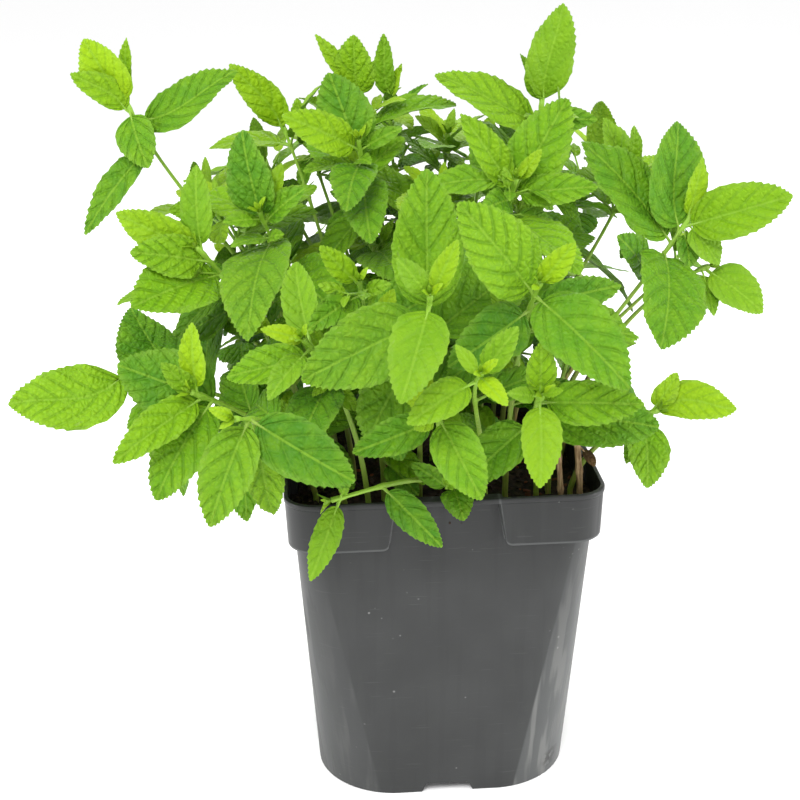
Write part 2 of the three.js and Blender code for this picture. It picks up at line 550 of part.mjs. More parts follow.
// Grows every stem: its own leaves first, then the pairs by rule, the youngest pair of every stem
// before the next pair. A leaf that finds no clear place in any attempt isn't grown.
function growPlant() {
  const shoots = STEMS.map((stem, number) => {
    const path = stemPath(stem);
    return { stem, path, leaves: [], clouds: [], draw: randomDraws(FIRST_SEED + SEED_STEP * number),
      stemCloud: cloud(path.map((place) => place.point)) };
  });
  const fiveDraws = (shoot) => Array.from({ length: 5 }, () => shoot.draw());
  for (const shoot of shoots) {
    for (const [below, x, y, z, wide, arch, bow = 0] of shoot.stem.leaves) {
      const { point } = placeBelowTip(shoot.path, below);
      const leaf = leafTo(point, vec(x, y, z), wide, arch, bow, fiveDraws(shoot));
      shoot.leaves.push({ leaf, pair: null });
      shoot.clouds.push(cloud(leaf.samples()));
    }
  }
  PAIRS.forEach((pair, number) => {
    for (const shoot of shoots) {
      for (const half of [0, 180]) {
        const draws = fiveDraws(shoot);
        const place = placeBelowTip(shoot.path, pair.below);
        if (!shoot.stem.pairs.includes(String(number)) || !place) continue;
        const others = shoots.filter((other) => other !== shoot);
        for (const attempt of ATTEMPTS) {
          const azimuth = shoot.stem.turn + 90 * number + half;
          const leaf = pairLeaf(shoot.stem, pair, place, azimuth, draws, attempt);
          const leafCloud = cloud(leaf.samples());
          const outer = cloud(leafCloud.points.slice(leafCloud.points.length / 3));
          const crowded = others.some((other) => near(leafCloud, other.stemCloud)
            || other.clouds.some((placed) => near(leafCloud, placed)))
            || shoot.clouds.some((placed) => near(outer, placed));
          if (crowded || !clearOfPot(leafCloud.points)) continue;
          shoot.leaves.push({ leaf, pair: number });
          shoot.clouds.push(leafCloud);
          break;
        }
      }
    }
  });
  return shoots;
}

// ---------------------------------------------------------------- solids of the plant

// One side of a blade's toothed margin, as [u, share of the half width], and its midrib points.
const MARGINS = {
  large: { side: [[0.13, 1.0], [0.4, 1.07], [0.46, 0.91], [0.72, 1.14]], ribs: [0.3, 0.62] },
  middle: { side: [[0.18, 1.0], [0.54, 1.1], [0.6, 0.92]], ribs: [0.42] },
  small: { side: [[0.22, 1.0], [0.6, 1.1]], ribs: [] },
};

function marginOf(leaf) {
  if (leaf.length >= LARGE_LEAF) return MARGINS.large;
  return leaf.length >= MIDDLE_LEAF ? MARGINS.middle : MARGINS.small;
}

// A leaf as a thin closed blade: its upper and lower face have the same triangles. Its stalk is a
// slim pyramid whose point lies inside the stem.
function leafSolid(leaf) {
  const { side, ribs } = marginOf(leaf);
  const right = [[0, STALK_HALF], ...side.map(([u, share]) => [u, share * leaf.halfWidth(u)])];
  const left = right.map(([u, wide]) => [u, -wide]).reverse();
  const flat = [...right, [1, 0], ...left, ...ribs.map((u) => [u, 0])];
  const count = flat.length;
  const last = count - ribs.length - 1;
  const points = [BLADE_HALF, -BLADE_HALF].flatMap((lift) => flat.map(([u, w]) => leaf.at(u, w, lift)));
  points.push(leaf.at(STALK_POINT, 0));
  const triangles = [];
  for (const [a, b, c] of bladeFaces(right.length, last, flat)) {
    triangles.push(a, b, c, count + a, count + c, count + b);
  }
  for (let i = 0; i < last; i++) {
    triangles.push(i, count + i, count + i + 1, i, count + i + 1, i + 1);
  }
  const root = [0, last, count + last, count];
  root.forEach((corner, i) => triangles.push(corner, root[(i + 1) % 4], 2 * count));
  return solidOf(geometryOf(points, triangles));
}

// Triangles of a blade: a zip between each half of the margin and the midrib.
function bladeFaces(tip, last, flat) {
  const mirrored = (i) => (i <= last ? last - i : i);
  const faces = [];
  const bothSides = (a, b, c) => faces.push([a, b, c], [mirrored(a), mirrored(c), mirrored(b)]);
  const ribs = Array.from({ length: flat.length - 1 - last }, (_, i) => last + 1 + i);
  if (!ribs.length) {
    for (let edge = 1; edge < tip; edge++) bothSides(0, edge, edge + 1);
    return [...faces, [0, tip, last]];
  }
  faces.push([0, ribs[0], last]);
  let rib = 0;
  for (let edge = 0; edge < tip; edge++) {
    if (rib + 1 < ribs.length && flat[ribs[rib + 1]][0] < flat[edge + 1][0]) {
      bothSides(edge, ribs[rib + 1], ribs[rib]);
      rib += 1;
    }
    bothSides(edge, edge + 1, ribs[rib]);
  }
  return faces;
}

// A square stem along a path of { point, direction, side }, from its root in the soil.
function stemSolid(places, halfLow, halfHigh) {
  const [x, y] = places[0].point.toArray();
  const upright = (z) => ({ point: vec(x, y, z), direction: vec(0, 0, 1), side: vec(1, 0, 0) });
  const all = [upright(SOIL_LEVEL - ROOT_DEPTH), upright(STEM_TOP), ...places.slice(1)];
  const rings = all.map(({ point, direction, side }, i) => {
    const half = halfLow + (halfHigh - halfLow) * i / (all.length - 1);
    const other = new THREE.Vector3().crossVectors(direction, side);
    return [[1, -1], [1, 1], [-1, 1], [-1, -1]].map(([a, b]) =>
      blend([point, 1], [side, a * half], [other, b * half]).toArray());
  });
  return loft(rings);
}

// Leaves deep inside the bush, which the outer leaves cover, aren't built.
function deepInside(leaf) {
  const middle = leaf.at(0.5, 0);
  return Math.hypot(middle.x, middle.y - CORE_Y) < CORE_RADIUS && middle.z < CORE_TOP;
}

function leafyStem({ stem, path, leaves }) {
  const every = CURVE_POINTS / STEM_STEPS;
  const places = Array.from({ length: STEM_STEPS + 1 }, (_, i) => path[Math.round(i * every)]);
  const blades = leaves
    .filter(({ pair, leaf }) => pair === null || (SOLID_PAIRS.includes(pair) && !deepInside(leaf)))
    .map(({ leaf }) => leafSolid(leaf));
  return joined([stemSolid(places, STEM_HALF_LOW, STEM_HALF_HIGH), ...blades]);
}

// ---------------------------------------------------------------- dry stems

const DRY_STEMS = [
  { name: "dry_stem_1", root: [47, -42], tip: [44, -45, 144], aim: [-3, -3, 30], half: 1,
    leaf: [10, 51, -44, 126, 0.5, 60] },
  { name: "dry_stem_2", root: [40, -44], tip: [38, -45, 138], aim: [-2, -1, 30], half: 0.85,
    leaf: null },
];

function dryStem({ root, tip, aim, half, leaf }) {
  const path = stemPath({ root, tip, aim });
  const stick = stemSolid([0, 12, 24, CURVE_POINTS].map((i) => path[i]), half, half);
  if (!leaf) return stick;
  const [below, x, y, z, wide, arch] = leaf;
  const { point } = placeBelowTip(path, below);
  return stick.add(leafSolid(leafTo(point, vec(x, y, z), wide, arch, 0, [0, 0, 0, 0, 1])));
}

// ---------------------------------------------------------------- the soil

// Two long waves that cross each other.
const soilHeight = (x, y) => SOIL_LEVEL
  + SOIL_BUMP * (0.6 * Math.sin(0.31 * x + 0.5) * Math.cos(0.27 * y)
    + 0.4 * Math.sin(0.17 * x - 0.23 * y + 1.3));

function soilTop() {
  const half = POT_WIDTH / 2;
  const cell = POT_WIDTH / SOIL_CELLS;
  const row = SOIL_CELLS + 1;
  const points = [];
  const triangles = [];
  for (const isTop of [true, false]) {
    for (let i = 0; i < row; i++) {
      for (let j = 0; j < row; j++) {
        const x = i * cell - half;
        const y = j * cell - half;
        points.push([x, y, isTop ? soilHeight(x, y) : 0]);
      }
    }
  }
  const count = row * row;
  for (let i = 0; i < SOIL_CELLS; i++) {
    for (let j = 0; j < SOIL_CELLS; j++) {
      const a = i * row + j;
      const [b, c, d] = [a + row, a + row + 1, a + 1];
      triangles.push(a, b, c, a, c, d);
      triangles.push(count + a, count + c, count + b, count + a, count + d, count + c);
    }
  }
  const edge = [];
  for (let i = 0; i < SOIL_CELLS; i++) edge.push(i * row);
  for (let j = 0; j < SOIL_CELLS; j++) edge.push(SOIL_CELLS * row + j);
  for (let i = SOIL_CELLS; i > 0; i--) edge.push(i * row + SOIL_CELLS);
  for (let j = SOIL_CELLS; j > 0; j--) edge.push(j);
  edge.forEach((a, i) => {
    const b = edge[(i + 1) % edge.length];
    triangles.push(a, count + a, count + b, a, count + b, b);
  });
  return solidOf(geometryOf(points, triangles));
}

function stemHole([x, y], half) {
  const side = half + GAP;
  const ring = (z) => [[x - side, y - side, z], [x + side, y - side, z],
    [x + side, y + side, z], [x - side, y + side, z]];
  return loft([ring(SOIL_LEVEL - ROOT_DEPTH - GAP), ring(POT_HEIGHT)]);
}

function buildSoil() {
  const filling = potInside(GAP, FLOOR_UNDER + WALL + GAP, POT_HEIGHT);
  const holes = [
    ...STEMS.map(({ root }) => stemHole(root, STEM_HALF_LOW)),
    ...DRY_STEMS.map(({ root, half }) => stemHole(root, half)),
  ];
  return filling.intersect(soilTop()).subtract(joined(holes));
}

// ---------------------------------------------------------------- the whole

const group = new THREE.Group();
group.add(meshOf("pot", buildPot(), plasticMaterial));
group.add(meshOf("soil", buildSoil(), soilMaterial));
for (const shoot of growPlant()) {
  group.add(meshOf(`leafy_stem_${shoot.stem.name}`, leafyStem(shoot), leafMaterial));
}
for (const stem of DRY_STEMS) {
  group.add(meshOf(stem.name, dryStem(stem), dryMaterial));
}

export default group;
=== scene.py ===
"""The looks of a potted mint plant: a square nursery pot, its soil, and a bush of leafy stems."""
import math
from collections import namedtuple

import bmesh
import bpy
import numpy as np
from mathutils import Matrix, Vector, noise


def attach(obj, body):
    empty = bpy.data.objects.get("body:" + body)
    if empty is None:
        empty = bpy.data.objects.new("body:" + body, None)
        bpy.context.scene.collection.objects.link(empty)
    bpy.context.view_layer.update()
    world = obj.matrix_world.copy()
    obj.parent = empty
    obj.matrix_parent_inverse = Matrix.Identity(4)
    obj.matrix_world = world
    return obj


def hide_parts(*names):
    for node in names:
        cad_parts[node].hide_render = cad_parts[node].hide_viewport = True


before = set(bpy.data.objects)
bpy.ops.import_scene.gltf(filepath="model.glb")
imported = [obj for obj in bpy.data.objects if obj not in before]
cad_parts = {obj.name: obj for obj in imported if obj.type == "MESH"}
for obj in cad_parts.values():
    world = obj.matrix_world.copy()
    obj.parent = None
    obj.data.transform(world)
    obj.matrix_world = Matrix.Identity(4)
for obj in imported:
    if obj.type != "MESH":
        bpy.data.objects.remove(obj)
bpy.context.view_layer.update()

MM = 0.001

# ---------------------------------------------------------------- driving dimensions, as in the solids

POT_HEIGHT = 120
WALL = 1.2
GAP = 0.3
BODY_WIDTH_LOW, BODY_WIDTH_HIGH = 92.4, 103.3
BODY_CORNER_LOW, BODY_CORNER_HIGH = 27, 12
BAND_LOW = 102
BAND_WIDTH_LOW, BAND_WIDTH_HIGH = 108.2, 109.4
BEAD_HEIGHT = 2
POT_WIDTH = 110
RIM_CORNER = 11
RECESS_HALF_LOW, RECESS_HALF_HIGH = 19.5, 17
FLOOR_UNDER = 3.5
NOTCH_HALF_LOW, NOTCH_HALF_HIGH, NOTCH_HEIGHT = 9.5, 7.5, 3.3
PAD_RADIUS = 12
DRAIN_RADIUS, DRAIN_OFFSET, DRAIN_SIDES = 4.5, 24, 32
SOIL_LEVEL, SOIL_BUMP = 110, 1.1
STEM_TOP = 113
ROOT_DEPTH = 12
CURVE_POINTS = 40
CLEARANCE = 3.6
SAMPLE_STEP = 2.6
FRONT_TURN, FRONT_SLOPE = 0.7, 0.4
RIM_ROOM, SOIL_ROOM = 4, 3
FOOT_LEAN, FOOT_PULL, TIP_PULL = 0.35, 0.4, 0.3
SUN, OUTWARD_TURN, OUTWARD_FROM, STEM_TURN = (-0.05, -0.5, 0.75), 0.55, 60, 0.35
TAPER, WIDEST = 0.8, 2.378
BOW_SCALE = 6.75           # brings the peak of t * (1 - t) ** 2 to 1
SMALL_LEAF = 20
FIRST_SEED, SEED_STEP, LEAF_DRAWS = 31, 977, 5
DRAW_FACTOR, DRAW_STEP, DRAW_RANGE = 1664525, 1013904223, 4294967296

# ---------------------------------------------------------------- the plant's plan, as in the solids

# Pairs by rule: distance below the tip, length, spread, arch (degrees), width / length.
PAIRS = [
    (1, 9, 16, 10, 0.42), (3, 18, 36, 20, 0.48), (8, 28, 54, 26, 0.52), (16, 36, 66, 30, 0.56),
    (28, 40, 74, 34, 0.58), (44, 38, 78, 38, 0.60), (63, 35, 80, 40, 0.60), (84, 30, 80, 40, 0.60),
]
# Ways to bend a leaf clear of its neighbours: turned about the stem, tilted, made smaller.
ATTEMPTS = [
    (0, 0, 1), (12, 0, 1), (-12, 0, 1), (0, 14, 1), (0, -14, 1), (24, 8, 0.95), (-24, 8, 0.95),
    (0, -28, 0.95), (0, 26, 0.95), (12, -20, 0.85), (-12, -20, 0.85), (30, -10, 0.8), (-30, -10, 0.8),
    (0, 0, 0.75), (0, -40, 0.75), (20, 30, 0.7), (-20, 30, 0.7), (0, 0, 0.55), (0, -30, 0.5),
]
# A stem's own leaves: distance below its tip, x, y, z of the leaf's tip, width / length, arch, bow.
Stem = namedtuple("Stem", "name tip root turn aim pairs size leaves rise", defaults=[(0, 0, 1)])
STEMS = [Stem(*row) for row in (
    ("front_1", (-8, -88, 201), (-8, -34), 45, (0, -7, 7), "04567", 1, [(2, -18, -92, 214, 0.5, 20),
      (2, 0, -90, 218, 0.42, 20), (6, -18, -108, 174, 0.55, 30), (15, -47, -84, 175, 0.6, 30),
      (13, -8, -66, 234, 0.55, 30)]),
    ("front_2", (26, -78, 201), (22, -34), 35, (1, -7, 7), "04567", 1, [(8, 0, -80, 226, 0.6, 30),
      (8, 51, -94, 171, 0.58, 40), (3, 35, -84, 215, 0.5, 20), (14, 54, -62, 195, 0.42, 30),
      (16, -2, -80, 175, 0.6, 40)]),
    ("front_3", (26, -86, 168), (32, -40), 0, (1, -8, 6), "0457", 1, [(4, 25, -86, 185, 0.6, 20),
      (9, 58, -84, 163, 0.5, 30), (5, 24, -98, 142, 0.52, 30), (3, 14, -92, 171, 0.45, 20)]),
    ("front_4", (-28, -66, 200), (-20, -28), 30, (-1, -6, 7), "04567", 1, [(3, -40, -68, 212, 0.5, 20),
      (7, -45, -76, 188, 0.5, 30), (6, -18, -70, 200, 0.5, 30)]),
    ("front_5", (6, -96, 179), (14, -42), 20, (1, -8, 6), "01234", 0.85, []),
    ("front_6", (-6, -88, 164), (2, -42), 50, (0, -8, 6), "01", 0.9, [(3, 6, -98, 139, 0.62, 30),
      (8, -32, -84, 150, 0.5, 30), (4, -14, -94, 161, 0.6, 15)]),
    ("front_7", (-46, -74, 185), (-26, -40), 70, (-3, -7, 6), "01234", 0.8, []),
    ("front_8", (-39, -66, 127), (10, -46), 20, (-9, -2, -1), "0", 0.8, [(3, -46, -76, 103, 0.38, 20),
      (3, -33, -72, 136, 0.4, 20), (18, -3, -72, 112, 0.45, 30),
      (46, 5, -62, 115, 0.85, 60)], (-2, 1, 10)),
    ("middle_1", (-25, -5, 233), (-14, -2), 20, (-1, -5, 8), "034567", 1, [(5, -51, -12, 242, 0.5, 30),
      (8, -34, 6, 254, 0.72, 30), (5, -10, -8, 237, 0.45, 20), (10, -31, -30, 213, 0.55, 40),
      (2, -20, -6, 240, 0.45, 10)]),
    ("middle_2", (-24, 28, 246), (-8, 20), 80, (-1, 0, 10), "03456", 0.9, [(2, -38, 26, 265, 0.3, 20),
      (5, -25, 22, 265, 0.75, 20), (3, -17, 28, 255, 0.4, 20)]),
    ("middle_3", (-10, 55, 238), (4, 40), 20, (1, 1, 10), "03456", 0.8, [
      (2, -12, 52, 262, 0.36, 15, -0.06), (2, -6, 52, 251, 0.36, 20), (9, 4, 50, 243, 0.3, 30)]),
    ("middle_4", (42, 22, 241), (18, 14), 10, (1, 0, 10), "034567", 1, [(3, 49, 20, 274, 0.56, 15, -0.05),
      (2, 33, 20, 257, 0.36, 20), (9, 3, 18, 251, 0.5, 30, -0.05), (10, 61, 16, 233, 0.55, 40)]),
    ("middle_5", (26, -25, 222), (12, -12), 30, (1, -5, 8), "034567", 1, [(6, 8, -24, 244, 0.42, 20),
      (8, 44, -12, 246, 0.62, 30), (7, 53, -28, 218, 0.5, 30), (3, 34, -26, 232, 0.45, 20),
      (9, 12, -40, 214, 0.5, 30)]),
    ("middle_6", (4, 5, 213), (0, 6), 60, (0, -2, 10), "01234567", 1, []),
    ("right_1", (90, -8, 204), (36, -20), 20, (5, 1, 8), "06", 1, [(5, 124, -14, 210, 0.58, 20),
      (8, 85, 2, 235, 0.72, 20, -0.07), (3, 93, -8, 224, 0.42, 15), (12, 52, 0, 229, 0.54, 30),
      (3, 99, -14, 187, 0.85, 20), (5, 88, -16, 187, 0.85, 20), (16, 70, -50, 169, 0.66, 35),
      (26, 59, -30, 203, 0.5, 20)]),
    ("right_2", (97, -10, 186), (46, -6), 60, (8, -1, 3), "", 0.7, [(2, 114, -20, 171, 0.8, 20),
      (3, 96, -22, 171, 0.5, 20)]),
    ("right_3", (73, -42, 145), (45, -34), 10, (7, -4, 5), "0", 0.7, [(3, 99, -46, 145, 0.54, 20, -0.15),
      (3, 79, -42, 158, 0.66, 20), (6, 67, -56, 122, 0.74, 25), (9, 62, -46, 127, 0.5, 20)]),
    ("right_4", (75, 22, 214), (30, 12), 50, (3, 0, 10), "01236", 1.1, [(3, 64, 24, 233, 0.62, 20),
      (3, 75, 20, 231, 0.5, 20)]),
    ("right_5", (52, -40, 184), (38, -29), 20, (5, -3, 8), "03", 0.7, []),
    ("right_6", (104, 48, 180), (44, 20), 30, (5, 3, 8), "01236", 1, []),
    ("left_1", (-59, -22, 213), (-30, -8), 110, (-2, -6, 8), "04567", 0.95, [(6, -64, -16, 239, 0.6, 30),
      (6, -43, -26, 221, 0.55, 30), (14, -62, -56, 178, 0.55, 45), (4, -71, -31, 211, 0.5, 20)]),
    ("left_2", (-104, 10, 246), (-36, 10), 60, (-3.5, 0, 9), "0", 0.8, [(3, -116, 8, 267, 0.72, 20),
      (2, -102, 10, 267, 0.3, 15), (5, -121, 4, 256, 0.5, 20, 0.08), (3, -97, 0, 224, 0.76, 20),
      (18, -120, 2, 201, 0.33, 30), (9, -65, 8, 255, 0.5, 15, 0.08)]),
    ("left_3", (-51, 42, 231), (-26, 26), 165, (-3, 1, 9), "02456", 1, [
      (3, -69, 40, 254, 0.44, 20, 0.06)]),
    ("left_4", (-80, -28, 203), (-42, -16), 10, (-5, -4, 7), "04567", 0.95, [(3, -79, -22, 229, 0.45, 25),
      (8, -101, -36, 204, 0.6, 25), (4, -106, -24, 214, 0.5, 25), (14, -101, -44, 187, 0.78, 30)]),
    ("left_5", (-83, -52, 161), (-44, -30), 80, (-6, -6, 5), "045", 0.85, [(3, -81, -50, 184, 0.45, 25),
      (5, -92, -54, 172, 0.5, 20), (6, -108, -64, 142, 0.45, 25), (10, -96, -62, 128, 0.6, 35),
      (14, -107, -40, 168, 0.75, 20)]),
    ("left_6", (-108, -14, 155), (-46, -6), 10, (-9, -1, 3), "34", 0.9, [
      (1, -149, -18, 148, 0.62, 12, -0.11), (20, -103, -30, 184, 0.75, 15)]),
    ("left_7", (-67, -92, 166), (-34, -42), 100, (-5, -8, 3), "04", 1, [(8, -76, -100, 135, 0.56, 35),
      (8, -32, -94, 145, 0.56, 35), (10, -57, -84, 131, 0.5, 25)]),
    ("left_8", (-82, 30, 210), (-36, 20), 40, (-5, 2, 8), "01234567", 0.9, []),
    ("left_9", (-96, 60, 175), (-44, 32), 15, (-5, 3, 8), "01234567", 1, []),
    ("back_1", (-60, 72, 215), (-20, 34), 20, (-4, 5, 8), "01234567", 1, []),
    ("back_2", (-20, 92, 225), (-6, 46), 50, (-1, 6, 8), "01234567", 1, []),
    ("back_3", (30, 96, 210), (14, 46), 10, (2, 6, 8), "01234567", 1, []),
    ("back_4", (72, 70, 215), (30, 34), 70, (4, 4, 8), "01234567", 1, []),
    ("back_5", (60, 104, 165), (28, 46), 40, (3, 5, 8), "01234567", 1, []),
    ("back_6", (-48, 108, 165), (-26, 46), 60, (-2, 6, 8), "01234567", 1, []),
    ("middle_7", (10, 42, 226), (4, 28), 70, (1, -1, 10), "0123456", 1, [(4, -3, 38, 233, 0.5, 25),
      (8, 17, 34, 207, 0.55, 25)]),
    ("left_10", (-42, 52, 226), (-14, 34), 30, (-2, 0, 10), "0123456", 1, [(4, -45, 48, 240, 0.6, 25),
      (8, -45, 44, 206, 0.6, 25)]),
    ("left_11", (-74, 4, 212), (-36, 2), 75, (-3, -2, 9), "0123456", 0.9, [(5, -91, 0, 209, 0.62, 20)]),
)]

# ---------------------------------------------------------------- growth, as in the solids


def vec(*numbers):
    return np.array(numbers, float)


def unit(v):
    return v * (1 / math.sqrt(v @ v))


def across(v, axis):
    return unit(v - axis * (v @ axis))


def random_draws(seed):
    state = seed

    def draw():
        nonlocal state
        state = (state * DRAW_FACTOR + DRAW_STEP) % DRAW_RANGE
        return state / DRAW_RANGE
    return draw


def stem_path(root, tip, aim, rise=(0, 0, 1)):
    """Points of a stem from its foot to its tip, with its direction and a side vector at each."""
    root, tip = vec(*root, STEM_TOP), vec(*tip)
    reach = math.sqrt((tip - root) @ (tip - root))
    rise = unit(unit(vec(*rise)) + FOOT_LEAN * unit(tip - root))
    controls = (root, root + rise * FOOT_PULL * reach, tip - TIP_PULL * reach * unit(vec(*aim)), tip)
    t = np.arange(CURVE_POINTS + 1)[:, None] / CURVE_POINTS
    k = 1 - t
    weights = (k * k * k, 3 * k * k * t, 3 * k * t * t, t * t * t)
    points = sum(weight * control for weight, control in zip(weights, controls))
    path, side = [], vec(1, 0, 0)
    for i, point in enumerate(points):
        direction = unit(points[min(CURVE_POINTS, i + 1)] - points[max(0, i - 1)])
        side = across(side, direction)
        path.append((point, direction, side))
    return path


def place_below_tip(path, below):
    left = below
    for i in range(len(path) - 1, 0, -1):
        length = math.dist(path[i][0], path[i - 1][0])
        if left <= length:
            t = left / length
            if math.dist(path[i - 1][0], path[0][0]) <= 6:
                return None
            return path[i][0] * (1 - t) + path[i - 1][0] * t, path[i][1], path[i][2]
        left -= length
    return None


def light_at(point):
    outward = vec(point[0], point[1], 0)
    outward = outward / max(OUTWARD_FROM, math.hypot(point[0], point[1]))
    return unit(vec(*SUN) + outward * OUTWARD_TURN)


def turned(a, b, turn):
    return a * math.cos(turn) + b * math.sin(turn)


def half_width(u, width):
    return width / 2 * WIDEST * np.sqrt(np.maximum(u, 0)) * np.maximum(1 - u, 0) ** TAPER


class Leaf:
    """A straight stalk from `base` along `forward`, then a blade bent along an arc."""

    def __init__(self, base, forward, up, length, width, arch, fold, stalk, bow=0):
        self.base, self.forward, self.up = base, forward, up
        self.length, self.width, self.arch, self.fold = length, width, arch, fold
        self.stalk, self.bow = stalk, bow
        self.sideways = np.cross(forward, up)

    def at(self, u, wide, lift=0.0, twist=0.0, sickle=0.0, cup=0.0):
        """Points at u along the blade, `wide` to the side and `lift` above its middle surface."""
        u, wide = np.asarray(u, float), np.asarray(wide, float)
        angle = self.arch * np.maximum(u, 0)
        bend = self.length / self.arch
        straight = np.where(u < 0, self.stalk * (1 + u), self.stalk)
        t = np.maximum(u, 0)
        cos, sin = np.cos(angle)[..., None], np.sin(angle)[..., None]
        normal = cos * self.up + sin * self.forward
        along = cos * self.forward - sin * self.up
        slope = (BOW_SCALE * self.bow * (1 - t) * (1 - 3 * t))[..., None]
        flat = (self.sideways - slope * along) / np.sqrt(1 + slope * slope)
        cos, sin = np.cos(twist * t)[..., None], np.sin(twist * t)[..., None]
        side = cos * flat + sin * normal
        over = cos * normal - sin * flat
        rise = (np.hypot(wide, cup) - cup) * math.sin(self.fold) + lift
        return (self.base
                + (straight + bend * np.sin(angle))[..., None] * self.forward
                - (bend * (1 - np.cos(angle)))[..., None] * self.up
                + (self.length * (sickle * t * t + BOW_SCALE * self.bow * t * (1 - t) ** 2))[..., None]
                * self.sideways
                + (wide * math.cos(self.fold))[..., None] * side
                + rise[..., None] * over)

    def samples(self):
        rows = max(3, math.floor(self.length / SAMPLE_STEP + 0.5))
        u, wide = [], []
        for i in range(rows + 1):
            half = float(half_width(i / rows, self.width))
            columns = math.floor(half / SAMPLE_STEP + 0.5)
            for j in range(-columns, columns + 1):
                u.append(i / rows)
                wide.append(half * j / max(columns, 1))
        return self.at(u, wide)


def fold_of(draw):
    return math.radians(14 + 10 * draw)


def leaf_to(base, tip, wide, arch_degrees, bow, draws):
    """A leaf on a stem whose tip is at a given point."""
    arch = math.radians(arch_degrees)
    chord = tip - base
    line = unit(chord)
    over = across(light_at(base) + FRONT_TURN * vec(0, -1, 0), line)
    stalk = 3
    cos, sin = math.cos(arch / 2), math.sin(arch / 2)
    length = (math.sqrt(chord @ chord) - stalk * cos) * arch / (2 * sin)
    return Leaf(base, line * cos + over * sin, over * cos - line * sin, length, length * wide,
                arch, fold_of(draws[4]), stalk, bow)


def pair_leaf(stem, pair, place, azimuth, draws, attempt):
    """A leaf of a pair that grows by rule."""
    point, direction, side = place
    _, pair_length, pair_spread, pair_arch, wide = pair
    swing, tilt, shrink = attempt
    outward = turned(side, np.cross(direction, side), math.radians(azimuth + swing))
    spread = math.radians(pair_spread + tilt + 16 * (draws[0] - 0.5))
    sag = 0 if pair_length < SMALL_LEAF else 0.10 + 0.12 * draws[1]
    forward = unit(turned(direction, outward, spread) - vec(0, 0, sag))
    facing = direction * STEM_TURN + light_at(point)
    length = pair_length * stem.size * shrink * (0.88 + 0.24 * draws[2])
    arch = math.radians(pair_arch * (0.7 + 0.6 * draws[3]))
    return Leaf(point, forward, across(facing, forward), length, length * wide, arch,
                fold_of(draws[4]), 1.5 if pair_length < SMALL_LEAF else 4)


def clear_of_pot(points):
    x, y, z = points.T
    half = POT_WIDTH / 2
    out = np.maximum(abs(x), abs(y))
    rising = POT_HEIGHT + FRONT_SLOPE * (-half - y)
    before_pot = (y < RIM_ROOM - half) & (abs(x) < half) & (z < rising + RIM_ROOM)
    above = z > POT_HEIGHT + RIM_ROOM / 2
    beside = out > half + RIM_ROOM / 2
    within = (out < half - RIM_ROOM) & (z > SOIL_LEVEL + SOIL_ROOM)
    return bool((~before_pot & (above | beside | within)).all())


class Crowd:
    """The sample points of every leaf and stem grown so far."""

    def __init__(self):
        self.points, self.owners, self.stems = [], [], []
        self.boxes = np.zeros((0, 6))

    def add(self, owner, points, is_stem=False):
        self.points.append(points)
        self.owners.append(owner)
        self.stems.append(is_stem)
        self.boxes = np.vstack([self.boxes, [*points.min(0), *points.max(0)]])

    def near(self, points, wanted, clearance=CLEARANCE):
        low, high = points.min(0) - clearance, points.max(0) + clearance
        hits = wanted & (self.boxes[:, :3] <= high).all(1) & (self.boxes[:, 3:] >= low).all(1)
        for i in np.flatnonzero(hits):
            apart = points[:, None, :] - self.points[i][None, :, :]
            if ((apart * apart).sum(2) < clearance * clearance).any():
                return True
        return False

    def crowds(self, owner, points):
        owners, stems = np.array(self.owners), np.array(self.stems)
        outer = points[math.floor(len(points) / 3):]
        return self.near(points, owners != owner) or self.near(outer, (owners == owner) & ~stems)


Shoot = namedtuple("Shoot", "stem path leaves draw")
Grown = namedtuple("Grown", "leaf pair row place below")


def grow_plant():
    """Every stem's own leaves first, then the pairs by rule, the youngest pair of all stems first."""
    shoots, crowd = [], Crowd()
    for number, stem in enumerate(STEMS):
        path = stem_path(stem.root, stem.tip, stem.aim, stem.rise)
        shoots.append(Shoot(stem, path, [], random_draws(SEED_STEP * number + FIRST_SEED)))
        crowd.add(number, np.array([place[0] for place in path]), True)
    for number, shoot in enumerate(shoots):
        for row, (below, x, y, z, wide, arch, *bow) in enumerate(shoot.stem.leaves):
            draws = [shoot.draw() for _ in range(LEAF_DRAWS)]
            place = place_below_tip(shoot.path, below)
            leaf = leaf_to(place[0], vec(x, y, z), wide, arch, bow[0] if bow else 0, draws)
            shoot.leaves.append(Grown(leaf, None, row, place, below))
            crowd.add(number, leaf.samples())
    for order, pair in enumerate(PAIRS):
        for number, shoot in enumerate(shoots):
            stem = shoot.stem
            for half in (0, 180):
                draws = [shoot.draw() for _ in range(LEAF_DRAWS)]
                place = place_below_tip(shoot.path, pair[0])
                if str(order) not in stem.pairs or place is None:
                    continue
                for attempt in ATTEMPTS:
                    leaf = pair_leaf(stem, pair, place, stem.turn + 90 * order + half, draws, attempt)
                    points = leaf.samples()
                    if crowd.crowds(number, points) or not clear_of_pot(points):
                        continue
                    shoot.leaves.append(Grown(leaf, order, half, place, pair[0]))
                    crowd.add(number, points)
                    break
    return shoots, crowd


# ---------------------------------------------------------------- meshes


